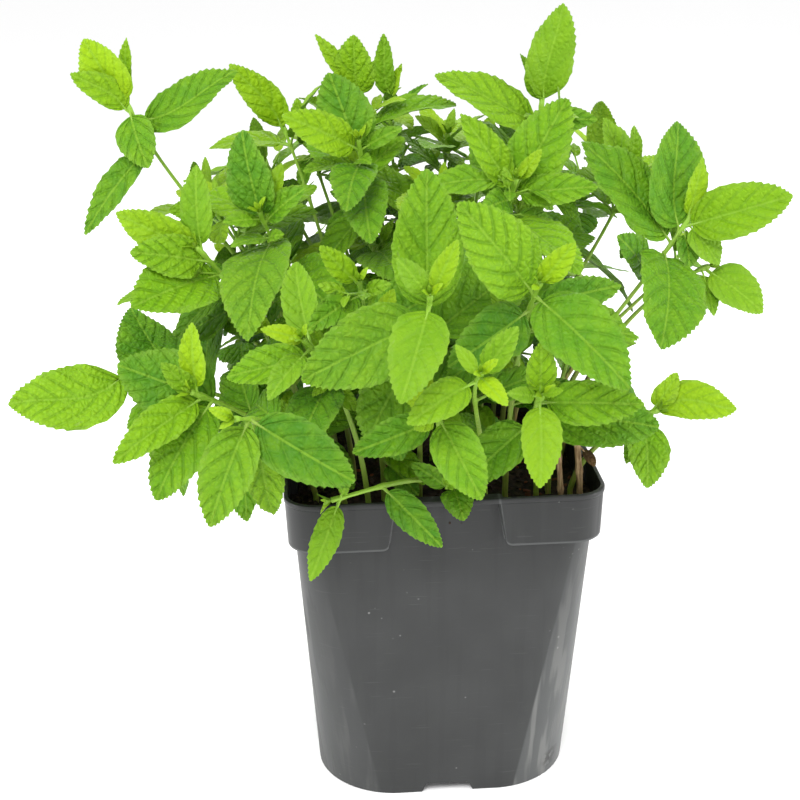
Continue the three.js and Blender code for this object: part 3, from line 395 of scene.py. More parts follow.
class Shape:
    """Points and faces of one piece, in millimetres, gathered part by part."""

    def __init__(self):
        self.points, self.leaf, self.look, self.keen, self.faces, self.slots = [], [], [], [], [], []
        self.count = 0

    def add(self, points, faces, slot=0, leaf=(0.5, 9, 0), look=(0, 0, 0), keen=0):
        """One row of leaf, look and keen for all points, or one for each."""
        n = len(points)
        self.points.append(points)
        self.leaf.append(np.broadcast_to(np.asarray(leaf, float), (n, 3)))
        self.look.append(np.broadcast_to(np.asarray(look, float), (n, 3)))
        self.keen.append(np.broadcast_to(np.asarray(keen), (n,)))
        self.faces += [[i + self.count for i in face] for face in faces]
        self.slots += [slot] * len(faces)
        self.count += n

    def build(self, name, materials, nodes, sharp=None):
        """Makes the object, which stands for its nodes and rides on the frame."""
        mesh = mesh_of(name, np.concatenate(self.points), self.faces)
        for material in materials:
            mesh.materials.append(material)
        mesh.polygons.foreach_set("material_index", self.slots)
        mesh.polygons.foreach_set("use_smooth", [True] * len(self.faces))
        for title, rows in (("leaf", self.leaf), ("look", self.look)):
            attribute = mesh.attributes.new(title, "FLOAT_VECTOR", "POINT")
            attribute.data.foreach_set("vector", np.concatenate(rows).astype(np.float32).ravel())
        keen = np.concatenate(self.keen)
        if keen.any():
            ends = np.zeros(len(mesh.edges) * 2, np.int32)
            mesh.edges.foreach_get("vertices", ends)
            ends = ends.reshape(-1, 2)
            edge = mesh.attributes.get("sharp_edge") or mesh.attributes.new("sharp_edge", "BOOLEAN", "EDGE")
            edge.data.foreach_set("value", (keen[ends[:, 0]] > 0) & (keen[ends[:, 1]] > 0))
        mesh.update()
        if sharp:
            mesh.set_sharp_from_angle(angle=math.radians(sharp))
        piece = add_object(name, mesh)
        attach(piece, "root")
        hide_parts(*nodes)


def mesh_of(name, points, faces):
    """A mesh in metres from points in millimetres."""
    mesh = bpy.data.meshes.new(name)
    mesh.from_pydata((np.asarray(points) * MM).tolist(), [], faces)
    return mesh


def add_object(name, data):
    item = bpy.data.objects.new(name, data)
    bpy.context.scene.collection.objects.link(item)
    return item


def tube_faces(rings, sides):
    """Faces of a tube through rings of points, with both ends closed."""
    faces = []
    for i in range(rings - 1):
        for j in range(sides):
            k = (j + 1) % sides
            faces.append([i * sides + j, i * sides + k, (i + 1) * sides + k, (i + 1) * sides + j])
    faces.append([j for j in reversed(range(sides))])
    faces.append([(rings - 1) * sides + j for j in range(sides)])
    return faces


# ---------------------------------------------------------------- leaf blades


FAN = 7                    # lines at a blade's base, before its first side vein


class Net:
    """The net of a blade: lines that follow its side veins, from the midrib to the margin."""

    def __init__(self, veins, shares):
        steps = 4 * veins
        t = np.arange(steps) / steps
        fan = np.arange(FAN) - FAN
        self.mid = np.concatenate([0.045 + 0.0055 * fan, 0.05 + 0.935 * (1 - (1 - t) ** 1.15)])
        self.phase = np.concatenate([fan / 4, np.arange(steps) / 4])
        self.share = np.concatenate([-np.array(shares)[:0:-1], shares])
        rows, columns = len(self.mid), len(self.share)
        self.rows, self.columns = rows, columns
        grid = np.arange(rows * columns).reshape(rows, columns)
        under = grid.copy()
        inner = np.arange(rows * (columns - 2)).reshape(rows, columns - 2) + rows * columns
        under[:, 1:-1] = inner
        base, tip = rows * columns + inner.size, rows * columns + inner.size + 1
        self.faces = []
        for net, up in ((grid, True), (under, False)):
            quads = np.stack([net[:-1, :-1], net[:-1, 1:], net[1:, 1:], net[1:, :-1]], -1).reshape(-1, 4)
            fans = [[base, net[0, j + 1], net[0, j]] for j in range(columns - 1)]
            fans += [[tip, net[-1, j], net[-1, j + 1]] for j in range(columns - 1)]
            for face in quads.tolist() + [[int(i) for i in fan] for fan in fans]:
                self.faces.append(face if up else face[::-1])
        self.keen = np.zeros(tip + 1, int)
        self.keen[grid[:, 0]] = self.keen[grid[:, -1]] = 1
        self.keen[[base, tip]] = 1

    def margin(self, wide):
        """Where each line meets the margin, as u, for a blade of this width / length."""
        main = self.mid[FAN:]
        lean = 1.2 + 0.4 * main
        low, high = main.copy(), np.ones_like(main)
        for _ in range(24):
            middle = (low + high) / 2
            beyond = middle - lean * half_width(middle, wide) > main
            high = np.where(beyond, middle, high)
            low = np.where(beyond, low, middle)
        return np.concatenate([low[0] * np.array([0.03, 0.12, 0.25, 0.4, 0.55, 0.7, 0.85]), low])


# The net for a blade of at least this length.
NETS = [
    (36, Net(6, [0, 0.05, 0.18, 0.36, 0.55, 0.74, 0.9, 1])),
    (24, Net(5, [0, 0.06, 0.27, 0.52, 0.78, 1])),
    (16, Net(4, [0, 0.08, 0.35, 0.7, 1])),
    (7, Net(3, [0, 0.4, 1])),
    (0, Net(2, [0, 0.5, 1])),
]


BULGE, PUCKER, WAVE = 0.6, 0.75, 0.024
BLADE_HALF, GROOVE_TOP, GROOVE_UNDER, GROOVE_WIDTH = 0.15, 0.22, 0.42, 0.6


def add_blade(shape, leaf, look, rng, toothed=1.0):
    """A blade of full detail: puckered between its veins, grooved along the midrib, toothed."""
    net = next(net for least, net in NETS if leaf.length >= least)
    meets = net.margin(leaf.width / leaf.length)[:, None]
    share = abs(net.share)[None, :]
    sign = np.sign(net.share)[None, :]
    mid, phase = net.mid[:, None], net.phase[:, None]
    step = np.gradient(net.mid)[:, None]
    slip = [np.convolve(rng.normal(0, 0.8, net.rows), [0.3, 0.4, 0.3], "same") for _ in (0, 1)]
    slip = np.where(sign < 0, slip[0][:, None], slip[1][:, None]) * np.clip(1 - meets, 0, 1)
    half = half_width(meets, leaf.width)
    u = mid + (meets - mid) * share ** 1.3 + slip * step * share * (1 - share) * 2.4
    wide = half * share
    # teeth: every second line ends in a tooth that leans to the leaf's tip
    order = np.arange(net.rows)[:, None] - 1
    fade = np.clip(meets / 0.2, 0, 1) * np.clip((1 - meets) / 0.1, 0.25, 1) * (order >= 1)
    tooth = np.where(order % 2 == 1, 1.0, -0.9) * fade * toothed
    size = leaf.length * (0.001 + 0.009 * rng.random((net.rows, net.columns)))
    rim = share > 0.999
    wide = wide + np.where(rim, tooth * size, 0)
    u = u + np.where(rim & (tooth > 0), 0.35 * step * toothed, 0)
    u = np.minimum(u, 0.995)
    # relief: bulges between the veins, uneven from one to the next, and a waved margin
    fold = 2 * abs(phase % 1 - 0.5)
    rise = np.clip(share / 0.16, 0, 1) * (1 - share ** 5)
    puff = min(0.0085 * leaf.length, 0.4) * rng.uniform(0.8, 1.25) * min(1, 0.4 + leaf.length / 45)
    puff *= 0.6 + 0.4 * min(1, look[0] / 0.6)
    bulge = rng.uniform(0.45, 1.3, (2, 16))
    gap = np.floor(phase).astype(int) + 3
    uneven = np.where(sign < 0, bulge[0][gap], bulge[1][gap])
    lift = BULGE * puff * (1 - 2 * fold ** 2.2) * rise * uneven
    beat, shift = rng.uniform(1.2, 2.4), rng.uniform(0, 2 * math.pi, 2)
    shift = np.where(sign < 0, shift[0], shift[1])
    wave = np.sin(2 * math.pi * beat * u + shift) + 0.5 * np.sin(4.6 * math.pi * beat * u + 2 * shift)
    lift = lift + WAVE * leaf.length * wave * share ** 1.6 * rng.uniform(0.3, 1.0)
    pucker = np.sin(8.0 * share + 2.4 * phase + shift) * np.sin(3.1 * phase + 2 * shift)
    lift = lift + PUCKER * puff * pucker * rise
    lift = lift - rng.uniform(0.0, 0.5) * half * math.sin(leaf.fold) * share ** 2.5
    groove = np.exp(-(wide / GROOVE_WIDTH) ** 2) * (1 - u) ** 0.5
    bends = {"twist": rng.uniform(-0.22, 0.22), "sickle": rng.uniform(-0.03, 0.03), "cup": 1.3}
    thick = BLADE_HALF * (1 - share ** 6) * min(1, leaf.length / 24)
    signed = wide * sign
    top = leaf.at(u, signed, lift + thick - GROOVE_TOP * groove * thick / BLADE_HALF, **bends)
    deep = GROOVE_UNDER * groove + 0.1 * fold ** 4 * rise
    bottom = leaf.at(u, signed, lift - thick - deep * thick / BLADE_HALF, **bends)
    ends = leaf.at([0.0, 1.0], [0.0, 0.0], **bends)
    points = np.concatenate([top.reshape(-1, 3), bottom[:, 1:-1].reshape(-1, 3), ends])

    def spread(rows):
        rows = np.broadcast_to(rows, u.shape)
        return np.concatenate([rows.ravel(), rows[:, 1:-1].ravel(), [rows[0, 0], rows[-1, 0]]])
    below = np.concatenate([np.where(rim, 0.5, 0.0).repeat(net.rows, 0).ravel(),
                            np.ones(net.rows * (net.columns - 2)), [0.5, 0.5]])
    marks = np.stack([spread(phase), spread(wide), below], -1)
    marks[-2:, 1] = 0
    shape.add(points, net.faces, 0, marks, look, net.keen)


STALK_SIDES = 6


def add_stalk(shape, leaf, look, thick=1.0):
    """The leaf's stalk, which runs out under the blade's first part."""
    size = thick * min(1.0, 0.35 + leaf.length / 44)
    places = [(-1.2, 0, 0.95), (-0.95, 0, 0.85), (-0.6, 0, 0.66), (-0.2, -0.02, 0.6), (0.02, -0.18, 0.52),
              (0.06, -0.26, 0.42), (0.12, -0.24, 0.24)]
    rings = []
    for u, lift, radius in places:
        centre = leaf.at([u], [0.0], np.array([lift * size]))[0]
        for side in range(STALK_SIDES):
            turn = 2 * math.pi / STALK_SIDES * side
            rings.append(centre + turned(leaf.sideways, leaf.up * 0.85, turn) * radius * size)
    faces = [face[::-1] for face in tube_faces(len(places), STALK_SIDES)]
    shape.add(np.array(rings), faces, 1, look=look)


# ---------------------------------------------------------------- stems

STEM_SIDES, CORNER_REACH = 12, 1.12
KNOT_RISE, KNOT_LENGTH = 0.28, 1.6


def square_ring(point, direction, side, half):
    """A ring of a square stem with rounded corners and slightly hollow sides."""
    other = np.cross(direction, side)
    ring = []
    for corner in range(4):
        for angle, reach in ((-0.42, 1.0), (0, 1.16), (0.42, 1.0)):
            turn = math.pi / 4 + corner * math.pi / 2 + angle
            ring.append(point + turned(side, other, turn) * half * reach * CORNER_REACH)
    return ring


def add_stem(shape, path, half_low, half_high, knots, reddish, dry, seed):
    """A tapered square stem from its root in the soil, thicker at its knots."""
    rng = np.random.default_rng(seed)
    foot = path[0][0]
    up, east = vec(0, 0, 1), vec(1, 0, 0)
    places = [(vec(foot[0], foot[1], z), up, east) for z in (SOIL_LEVEL - ROOT_DEPTH, 104, 108, 110.5)]
    places += path
    lengths = [0.0]
    for a, b in zip(places[:-1], places[1:]):
        lengths.append(lengths[-1] + math.dist(a[0], b[0]))
    total = lengths[-1]
    rings, looks = [], []
    for (point, direction, side), reached in zip(places, lengths):
        share = reached / total
        half = half_low + (half_high - half_low) * share
        for below in knots:
            half += KNOT_RISE * math.exp(-((total - reached - below) / KNOT_LENGTH) ** 2)
        half *= 1 + 0.03 * rng.uniform(-1, 1)
        rings += square_ring(point, direction, side, half)
        looks += [(share, reddish, dry)] * STEM_SIDES
    tip = path[-1][0] + path[-1][1] * half_high * 0.8
    faces = tube_faces(len(places), STEM_SIDES)[:-1]
    last = (len(places) - 1) * STEM_SIDES
    faces += [[last + j, last + (j + 1) % STEM_SIDES, len(rings)] for j in range(STEM_SIDES)]
    shape.add(np.array(rings + [tip]), faces, 1, look=np.array(looks + [looks[-1]]))


# Ages run from 0 (young, yellow-green) to 1 (old, dark). By pair, and for some leaves of their own by
# stem and row of its table.
PAIR_AGES = [0.0, 0.05, 0.22, 0.48, 0.68, 0.82, 0.95, 1.0]
LEAF_AGES = {
    "front_1": {2: 0.18, 3: 0.88, 4: 0.66}, "front_2": {4: 0.9, 0: 0.6, 1: 0.5}, "front_3": {2: 0.12},
    "front_6": {0: 0.45, 1: 0.85}, "front_8": {2: 0.9, 3: 0.5, 0: 0.2}, "left_6": {0: 0.45},
    "left_2": {3: 0.5, 4: 0.75, 5: 0.7, 1: 0.25}, "left_3": {0: 0.2},
    "right_1": {4: 0.2, 5: 0.8, 6: 0.62, 0: 0.3, 1: 0.62, 3: 0.55}, "left_7": {1: 0.95, 0: 0.8},
    "left_1": {0: 0.72, 2: 0.9}, "middle_4": {0: 0.05, 2: 0.45}, "middle_1": {1: 0.8, 3: 0.7},
    "middle_2": {0: 0.3}, "left_4": {3: 0.4},
}


def age_of(stem, grown):
    if grown.pair is None:
        by_place = min(0.75, 0.05 + 0.055 * grown.below)
        return LEAF_AGES.get(stem.name, {}).get(grown.row, by_place)
    return PAIR_AGES[grown.pair]


LEAFY_SEED, DRY_SEED, DRY_STEM_SEED, SOIL_SEED = 400, 70, 90, 31
STEM_HALVES = (1.05, 0.45)
CORE_Y, SIDE_SHOOT_REACH, SIDE_SHOOT_BELOW, SIDE_SHOOT_CLEARANCE = 14, 82, 6, 2.2


def build_leafy_stem(number, shoot, crowd):
    stem, path = shoot.stem, shoot.path
    rng = np.random.default_rng(LEAFY_SEED + number)
    shape = Shape()
    reddish = float(rng.uniform(0, 0.6)) + (0.5 if stem.name.startswith("right") else 0)
    knots = [0, *sorted({grown.below for grown in shoot.leaves})]
    add_stem(shape, path, *STEM_HALVES, knots, reddish, 0, number)
    for grown in shoot.leaves:
        leaf, age = grown.leaf, age_of(stem, grown)
        look = (float(np.clip(age + rng.uniform(-0.08, 0.08), 0, 1)), float(rng.random()), 0)
        add_blade(shape, leaf, look, rng)
        add_stalk(shape, leaf, (1 - 0.5 * age, 0.3 * reddish, 0))
    for grown in shoot.leaves:
        x, y, _ = grown.place[0]
        if grown.below >= SIDE_SHOOT_BELOW and math.hypot(x, y - CORE_Y) < SIDE_SHOOT_REACH:
            add_side_shoot(shape, number, grown.place, grown.leaf, crowd, rng)
    add_bud(shape, path[-1], rng)
    shape.build("mint_" + stem.name, [leaf_material, stem_material],
                ["leafy_stem_" + stem.name])


def add_side_shoot(shape, number, place, leaf, crowd, rng):
    """A short shoot with a few small leaves, between the stem and a leaf's stalk."""
    point, direction, _ = place
    outward = across(leaf.forward, direction)
    beside = np.cross(direction, outward)
    aim = unit(direction * rng.uniform(0.6, 1.1) + outward * rng.uniform(0.5, 1.0)
               + beside * rng.uniform(-0.35, 0.35))
    reach = rng.uniform(3, 10)
    tip = point + aim * reach
    grown, first = False, rng.uniform(0, math.pi)
    for pair, (low, high, spread) in enumerate(((16, 30, 0.95), (8, 15, 0.55))):
        for half in (0, math.pi):
            side = turned(outward, beside, first + pair * math.pi / 2 + half)
            forward = unit(turned(aim, across(side, aim), spread))
            base = tip - aim * (2.0 if pair == 0 else 0)
            length = rng.uniform(low, high)
            for shrink in (1, 0.75, 0.5):
                small = Leaf(base, forward, across(light_at(base) + aim * 0.4, forward), length * shrink,
                             length * shrink * rng.uniform(0.46, 0.56), math.radians(rng.uniform(15, 45)),
                             fold_of(rng.random()), 1.2)
                points = small.samples()[6:]
                everyone = np.ones(len(crowd.points), bool)
                if (len(points) and not crowd.near(points, everyone, SIDE_SHOOT_CLEARANCE)
                        and clear_of_pot(points)):
                    look = (float(rng.uniform(0.15, 0.6)) - 0.15 * pair, float(rng.random()), 0)
                    add_blade(shape, small, look, rng, 0.8)
                    add_stalk(shape, small, (0.8, 0, 0), 0.8)
                    crowd.add(number, small.samples())
                    grown = True
                    break
    if grown:
        add_twig(shape, point, tip, beside)


def add_twig(shape, start, end, beside):
    aim = unit(end - start)
    other = across(beside, aim)
    third = np.cross(aim, other)
    places = ((-0.05, 0.6), (0.5, 0.45), (0.9, 0.42), (1.05, 0.3))
    rings = [start + (end - start) * share + turned(other, third, 2 * math.pi / STALK_SIDES * step) * radius
             for share, radius in places for step in range(STALK_SIDES)]
    shape.add(np.array(rings), tube_faces(len(places), STALK_SIDES), 1, look=(0.9, 0.1, 0))


def add_bud(shape, place, rng):
    """The closed tip of a shoot."""
    point, direction, side = place
    other = np.cross(direction, side)
    for step, (length, spread) in enumerate(((5.5, 0.42), (5.5, 0.42), (3.6, 0.25), (3.6, 0.25))):
        turn = step * math.pi + (math.pi / 2 if step > 1 else 0) + 0.4
        outward = turned(side, other, turn)
        forward = unit(direction + outward * spread)
        tiny = Leaf(point - direction * 0.6, forward, across(-outward, forward), length,
                    length * rng.uniform(0.42, 0.55), math.radians(rng.uniform(15, 40)),
                    fold_of(rng.random()), 0.8)
        add_blade(shape, tiny, (0.0, float(rng.random()), 0), rng, 0.5)


# ---------------------------------------------------------------- pot

FLAT_LOW = BODY_WIDTH_LOW / 2 - BODY_CORNER_LOW
FLAT_END = BODY_WIDTH_HIGH / 2 - BODY_CORNER_HIGH
# Places along half of a side, measured under the rim band: close together at the recess's edge.
HALF_SIDE = np.array([0, 4, 8, 12, 15, 17, 18.3, 19, 19.35, 19.5, 19.7, 19.95, 20.2, 20.5, 21, 21.7, 22.7,
                      24.5, 27, 31, 35, FLAT_END])
SIDE = np.concatenate([-HALF_SIDE[:0:-1], HALF_SIDE])
ARC_STEPS = 16
LEDGE_RADIUS = 2.8
LEDGE_FADE = 8             # width over which the recess comes back down to the level of the ledge
LEDGE_FROM = 10            # height under the band in which the body's rings follow the ledge
EDGE_WIDTH = 0.8
CORNER_CREASE = 0.10
FOOT_HEIGHT = 8


def smooth(x):
    x = np.clip(x, 0, 1)
    return x * x * (3 - 2 * x)


def pot_ring(z, inset=0.0, band=0.0, bead=None, inside=0.0):
    """A ring of the pot: its height, how far it is drawn in, and its share of the rim band."""
    low = min(1, max(z, 0) / BAND_LOW)
    body_width = BODY_WIDTH_LOW + (BODY_WIDTH_HIGH - BODY_WIDTH_LOW) * low
    body_corner = BODY_CORNER_LOW + (BODY_CORNER_HIGH - BODY_CORNER_LOW) * low
    high = max(0, (z - BAND_LOW) / (POT_HEIGHT - BEAD_HEIGHT - BAND_LOW))
    band_width = bead or BAND_WIDTH_LOW + (BAND_WIDTH_HIGH - BAND_WIDTH_LOW) * high
    recess = RECESS_HALF_LOW + (RECESS_HALF_HIGH - RECESS_HALF_LOW) * min(high, 1) + inside
    body_flat = body_width / 2 - body_corner
    band_flat = band_width / 2 - RIM_CORNER
    share = abs(SIDE) / FLAT_END
    if band > 0 or bead:
        grow = (recess - RECESS_HALF_LOW) * np.clip(share / 0.4, 0, 1) * np.clip((1 - share) / 0.4, 0, 1)
        x = SIDE + np.sign(SIDE) * grow + SIDE * (band_flat / FLAT_END - 1) * share ** 3
    else:
        x = SIDE * body_flat / FLAT_END
    edge = abs(x) - recess if band > 0 else abs(SIDE) - RECESS_HALF_LOW
    is_band = np.ones_like(x) if bead else band * smooth(edge / EDGE_WIDTH)
    y = -(body_width / 2 + (band_width - body_width) / 2 * is_band - inset)
    depth = np.clip(edge, 0, LEDGE_RADIUS)
    ledge = LEDGE_RADIUS - np.sqrt(LEDGE_RADIUS ** 2 - (LEDGE_RADIUS - depth) ** 2)
    ledge = np.where(edge < 0, LEDGE_RADIUS * smooth(1 + edge / LEDGE_FADE), ledge)
    rise = z + ledge * (not inside) * (
        smooth((z - BAND_LOW) / LEDGE_FROM + 1) if z < BAND_LOW else max(0, 1 - high))
    if z < FOOT_HEIGHT:
        notch = NOTCH_HEIGHT * smooth((NOTCH_HALF_LOW - abs(x)) / (NOTCH_HALF_LOW - NOTCH_HALF_HIGH))
        rise = notch + z * (FOOT_HEIGHT - notch) / FOOT_HEIGHT
    rise = np.broadcast_to(rise, x.shape)
    straight = np.stack([x, y, rise], -1)
    angle = np.radians(-90 + 90 * np.arange(1, ARC_STEPS) / ARC_STEPS)
    amount = 1.0 if bead else band
    corner = []
    for width, radius, crease in ((body_width, body_corner, CORNER_CREASE), (band_width, RIM_CORNER, 0)):
        centre = width / 2 - radius
        radius = max(radius - inset, 0.5)
        arc = np.stack([np.cos(angle), np.sin(angle)], -1)
        t = (angle[:, None] + math.pi / 2) / (math.pi / 2)
        chord = (1 - t) * np.array([0, -1]) + t * np.array([1, 0])
        corner.append(np.array([centre, -centre]) + radius * (arc + (chord - arc) * crease))
    arc = corner[0] + (corner[1] - corner[0]) * amount
    quarter = np.concatenate([straight, np.column_stack([arc, np.full(len(arc), float(z))])])
    ring = []
    for k in range(4):
        cos, sin = round(math.cos(k * math.pi / 2)), round(math.sin(k * math.pi / 2))
        side = quarter.copy()
        side[:, 0] = quarter[:, 0] * cos - quarter[:, 1] * sin
        side[:, 1] = quarter[:, 0] * sin + quarter[:, 1] * cos
        ring.append(side)
    return np.concatenate(ring)


def circle_ring(like, radius, z):
    flat = like[:, :2] / np.hypot(like[:, 0], like[:, 1])[:, None]
    return np.column_stack([flat * radius, np.full(len(like), float(z))])


def closed_rings(rings):
    """Points and faces of a closed surface through rings, with a middle point at each end."""
    count = len(rings[0])
    points = np.concatenate(rings + [rings[0].mean(0)[None], rings[-1].mean(0)[None]])
    first, last = len(rings) * count, len(rings) * count + 1
    j = np.arange(count)
    k = (j + 1) % count
    faces = []
    for i in range(len(rings) - 1):
        a, b = i * count, (i + 1) * count
        faces += np.stack([a + j, a + k, b + k, b + j], -1).tolist()
    end = (len(rings) - 1) * count
    faces += np.stack([np.full(count, first), k, j], -1).tolist()
    faces += np.stack([np.full(count, last), end + j, end + k], -1).tolist()
    return points, faces


def pot_rings():
    underside = pot_ring(0, 2.6)
    flat_under = underside.copy()
    flat_under[:, 2] = FLOOR_UNDER
    rings = [circle_ring(underside, PAD_RADIUS + more, z) for more, z in (
        (-PAD_RADIUS / 2, 0), (-0.3, 0), (0, 0.3), (0, FLOOR_UNDER - 0.2), (0.4, FLOOR_UNDER))]
    rings += [rings[4] + (flat_under - rings[4]) * share for share in (0.3, 0.6, 0.85)]
    rings += [flat_under, pot_ring(0, 2.5), pot_ring(0, 0.3), pot_ring(0.3, 0)]
    rings += [pot_ring(z) for z in (
        1.2, 2.6, 4.5, 6.4, FOOT_HEIGHT, *range(12, 92, 6), 94, 97, 99.5, 101, 101.7)]
    rings += [pot_ring(BAND_LOW + z, 0, band) for z, band in (
        (-0.1, 0), (0, 0.03), (0, 0.5), (0, 0.88), (0.1, 0.97), (0.35, 1))]
    rings += [pot_ring(z, 0, 1) for z in (103, 103.8, 104.8, 106, 108, 111, 114, 116.5, 117.7, 117.95)]
    rings += [pot_ring(z, 0, 1, bead=width) for z, width in (
        (118, 109.3), (118.2, 109.75), (118.5, 110), (119.4, 110), (119.8, 109.8), (120, 109.3))]
    top = pot_ring(POT_HEIGHT, WALL, 1, inside=WALL)
    rings += [top, pot_ring(119.7, WALL + 0.12, 1, inside=WALL)]
    rings += [pot_ring(z, WALL, 1, inside=WALL) for z in (118, 115, 112, 109, 106, 103.8)]
    rings += [pot_ring(BAND_LOW + WALL, WALL, amount, inside=WALL) for amount in (0.95, 0.5, 0.05)]
    rings += [pot_ring(z, WALL, inside=WALL) for z in (101, 80, 50, 20, 9)]
    floor = FLOOR_UNDER + WALL
    low = pot_ring(9, WALL, inside=WALL)
    low[:, 2] = floor + 0.4
    rings.append(low)
    for share in (0.985, 0.7, 0.4, 0.15):
        inner = low * share
        inner[:, 2] = floor
        rings.append(inner)
    return rings


def build_pot():
    shell = add_object("pot_shell", mesh_of("pot_shell", *closed_rings(pot_rings())))
    spots, drill_faces = [], []
    for x, y in ((1, 1), (-1, 1), (-1, -1), (1, -1)):
        start = len(spots)
        for z in (-2, 8):
            for step in range(DRAIN_SIDES):
                angle = 2 * math.pi * step / DRAIN_SIDES
                spots.append([x * DRAIN_OFFSET + DRAIN_RADIUS * math.cos(angle),
                              y * DRAIN_OFFSET + DRAIN_RADIUS * math.sin(angle), z])
        drill_faces += [[start + i for i in face] for face in tube_faces(2, DRAIN_SIDES)]
    drill = add_object("drills", mesh_of("drills", spots, drill_faces))
    cut = shell.modifiers.new("drains", "BOOLEAN")
    cut.operation, cut.solver, cut.object = "DIFFERENCE", "EXACT", drill
    bpy.context.view_layer.update()
    result = bpy.data.meshes.new_from_object(shell.evaluated_get(bpy.context.evaluated_depsgraph_get()))
    bpy.data.objects.remove(shell)
    bpy.data.objects.remove(drill)
    result.name = "pot_body"
    result.polygons.foreach_set("use_smooth", [True] * len(result.polygons))
    result.materials.clear()
    result.materials.append(pot_material)
    result.set_sharp_from_angle(angle=math.radians(38))
    piece = add_object("pot_body", result)
    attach(piece, "root")
    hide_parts("pot")


# ---------------------------------------------------------------- soil

CRUMBS, CRUMB_REACH = 620, 51
LUMP_HEIGHT, LUMP_SIZE, LUMP_SEED = 1.6, 7, 3.1


def soil_height(x, y):
    return SOIL_LEVEL + SOIL_BUMP * (0.6 * np.sin(0.31 * x + 0.5) * np.cos(0.27 * y)
                                     + 0.4 * np.sin(0.17 * x - 0.23 * y + 1.3))


def rough(x, y, size, seed):
    return noise.fractal(Vector((x / size, y / size, seed)), 0.7, 2.1, 4)


def lumps_at(x, y):
    return LUMP_HEIGHT * rough(x, y, LUMP_SIZE, LUMP_SEED)


def lump_faces():
    mesh = bmesh.new()
    bmesh.ops.create_icosphere(mesh, subdivisions=1, radius=1)
    points = np.array([v.co[:] for v in mesh.verts])
    faces = [[v.index for v in face.verts] for face in mesh.faces]
    mesh.free()
    return points, faces


def build_soil():
    rng = np.random.default_rng(SOIL_SEED)
    inset = WALL + GAP
    floor = FLOOR_UNDER + WALL + GAP
    rings = []
    low = pot_ring(9, inset, inside=inset)
    low[:, 2] = floor
    rings += [low * [share, share, 1] for share in (0.3, 0.7, 0.98)]
    rings += [pot_ring(z, inset, inside=inset) for z in (9, 40, 75, 101)]
    rings += [pot_ring(BAND_LOW + inset, inset, 0.05, inside=inset),
              pot_ring(BAND_LOW + inset, inset, 0.95, inside=inset)]
    rim = pot_ring(109, inset, 1, inside=inset)
    rings.append(rim)
    for share in (1.0, 0.985, *np.linspace(0.965, 0.02, 46)):
        ring = rim * [share, share, 1]
        for i, (x, y, _) in enumerate(ring):
            ring[i, 2] = soil_height(x, y) + (lumps_at(x, y) + 0.5 * rough(x, y, 1.8, 9.7) - 0.2)
            ring[i, 2] += 0.5 * max(0, share - 0.93) / 0.07
        rings.append(ring)
    shape = Shape()
    points, faces = closed_rings(rings)
    shape.add(points, faces, look=(0, 0.3, 0))
    base, lumps = lump_faces()
    for _ in range(CRUMBS):
        x, y = rng.uniform(-CRUMB_REACH, CRUMB_REACH, 2)
        size = rng.uniform(0.5, 1.5) * (1.8 if rng.random() < 0.12 else 1)
        bark = rng.random() < (0.5 if x > 25 else 0.22)
        stretch = rng.uniform(0.5, 1.3, 3) * size * ([1.7, 0.9, 0.45] if bark else [1, 1, 0.8])
        turn = Matrix.Rotation(rng.uniform(0, 6.28), 3, "Z")
        turn = turn @ Matrix.Rotation(rng.uniform(-0.6, 0.6), 3, "X")
        lump = base * (1 + 0.25 * rng.uniform(-1, 1, (len(base), 1))) * stretch @ np.array(turn).T
        height = soil_height(x, y) + lumps_at(x, y) + 0.1 * size
        shape.add(lump + [x, y, height], lumps, look=(float(bark), float(rng.random()), 1))
    shape.build("soil_surface", [soil_material], ["soil"], sharp=50)


# ---------------------------------------------------------------- dry stems

DRY_STEMS = [
    ("dry_stem_1", (47, -42), (44, -45, 144), 1.0, (10, 51, -44, 126, 0.5, 60)),
    ("dry_stem_2", (40, -44), (38, -45, 138), 0.85, None),
]


def build_dry_stem(number, name, root, tip, half, withered):
    rng = np.random.default_rng(DRY_SEED + number)
    path = stem_path(root, tip, (tip[0] - root[0], tip[1] - root[1], 30))
    shape = Shape()
    add_stem(shape, path, half, half, [8, 20], 0.5, 1, DRY_STEM_SEED + number)
    if withered:
        below, x, y, z, wide, arch = withered
        place = place_below_tip(path, below)
        leaf = leaf_to(place[0], vec(x, y, z), wide, arch, 0, [0, 0, 0, 0, 1])
        add_blade(shape, leaf, (1, 0.5, 1), rng, 0.8)
        add_stalk(shape, leaf, (0, 0.5, 1))
    shape.build(name + "_fibres", [leaf_material, dry_material], [name])


# ---------------------------------------------------------------- materials


def linear(red, green, blue):
    """A colour given as it looks on a screen, 0 to 255."""
    return tuple(((c / 255 + 0.055) / 1.055) ** 2.4 if c > 10 else c / 255 / 12.92
                 for c in (red, green, blue)) + (1,)


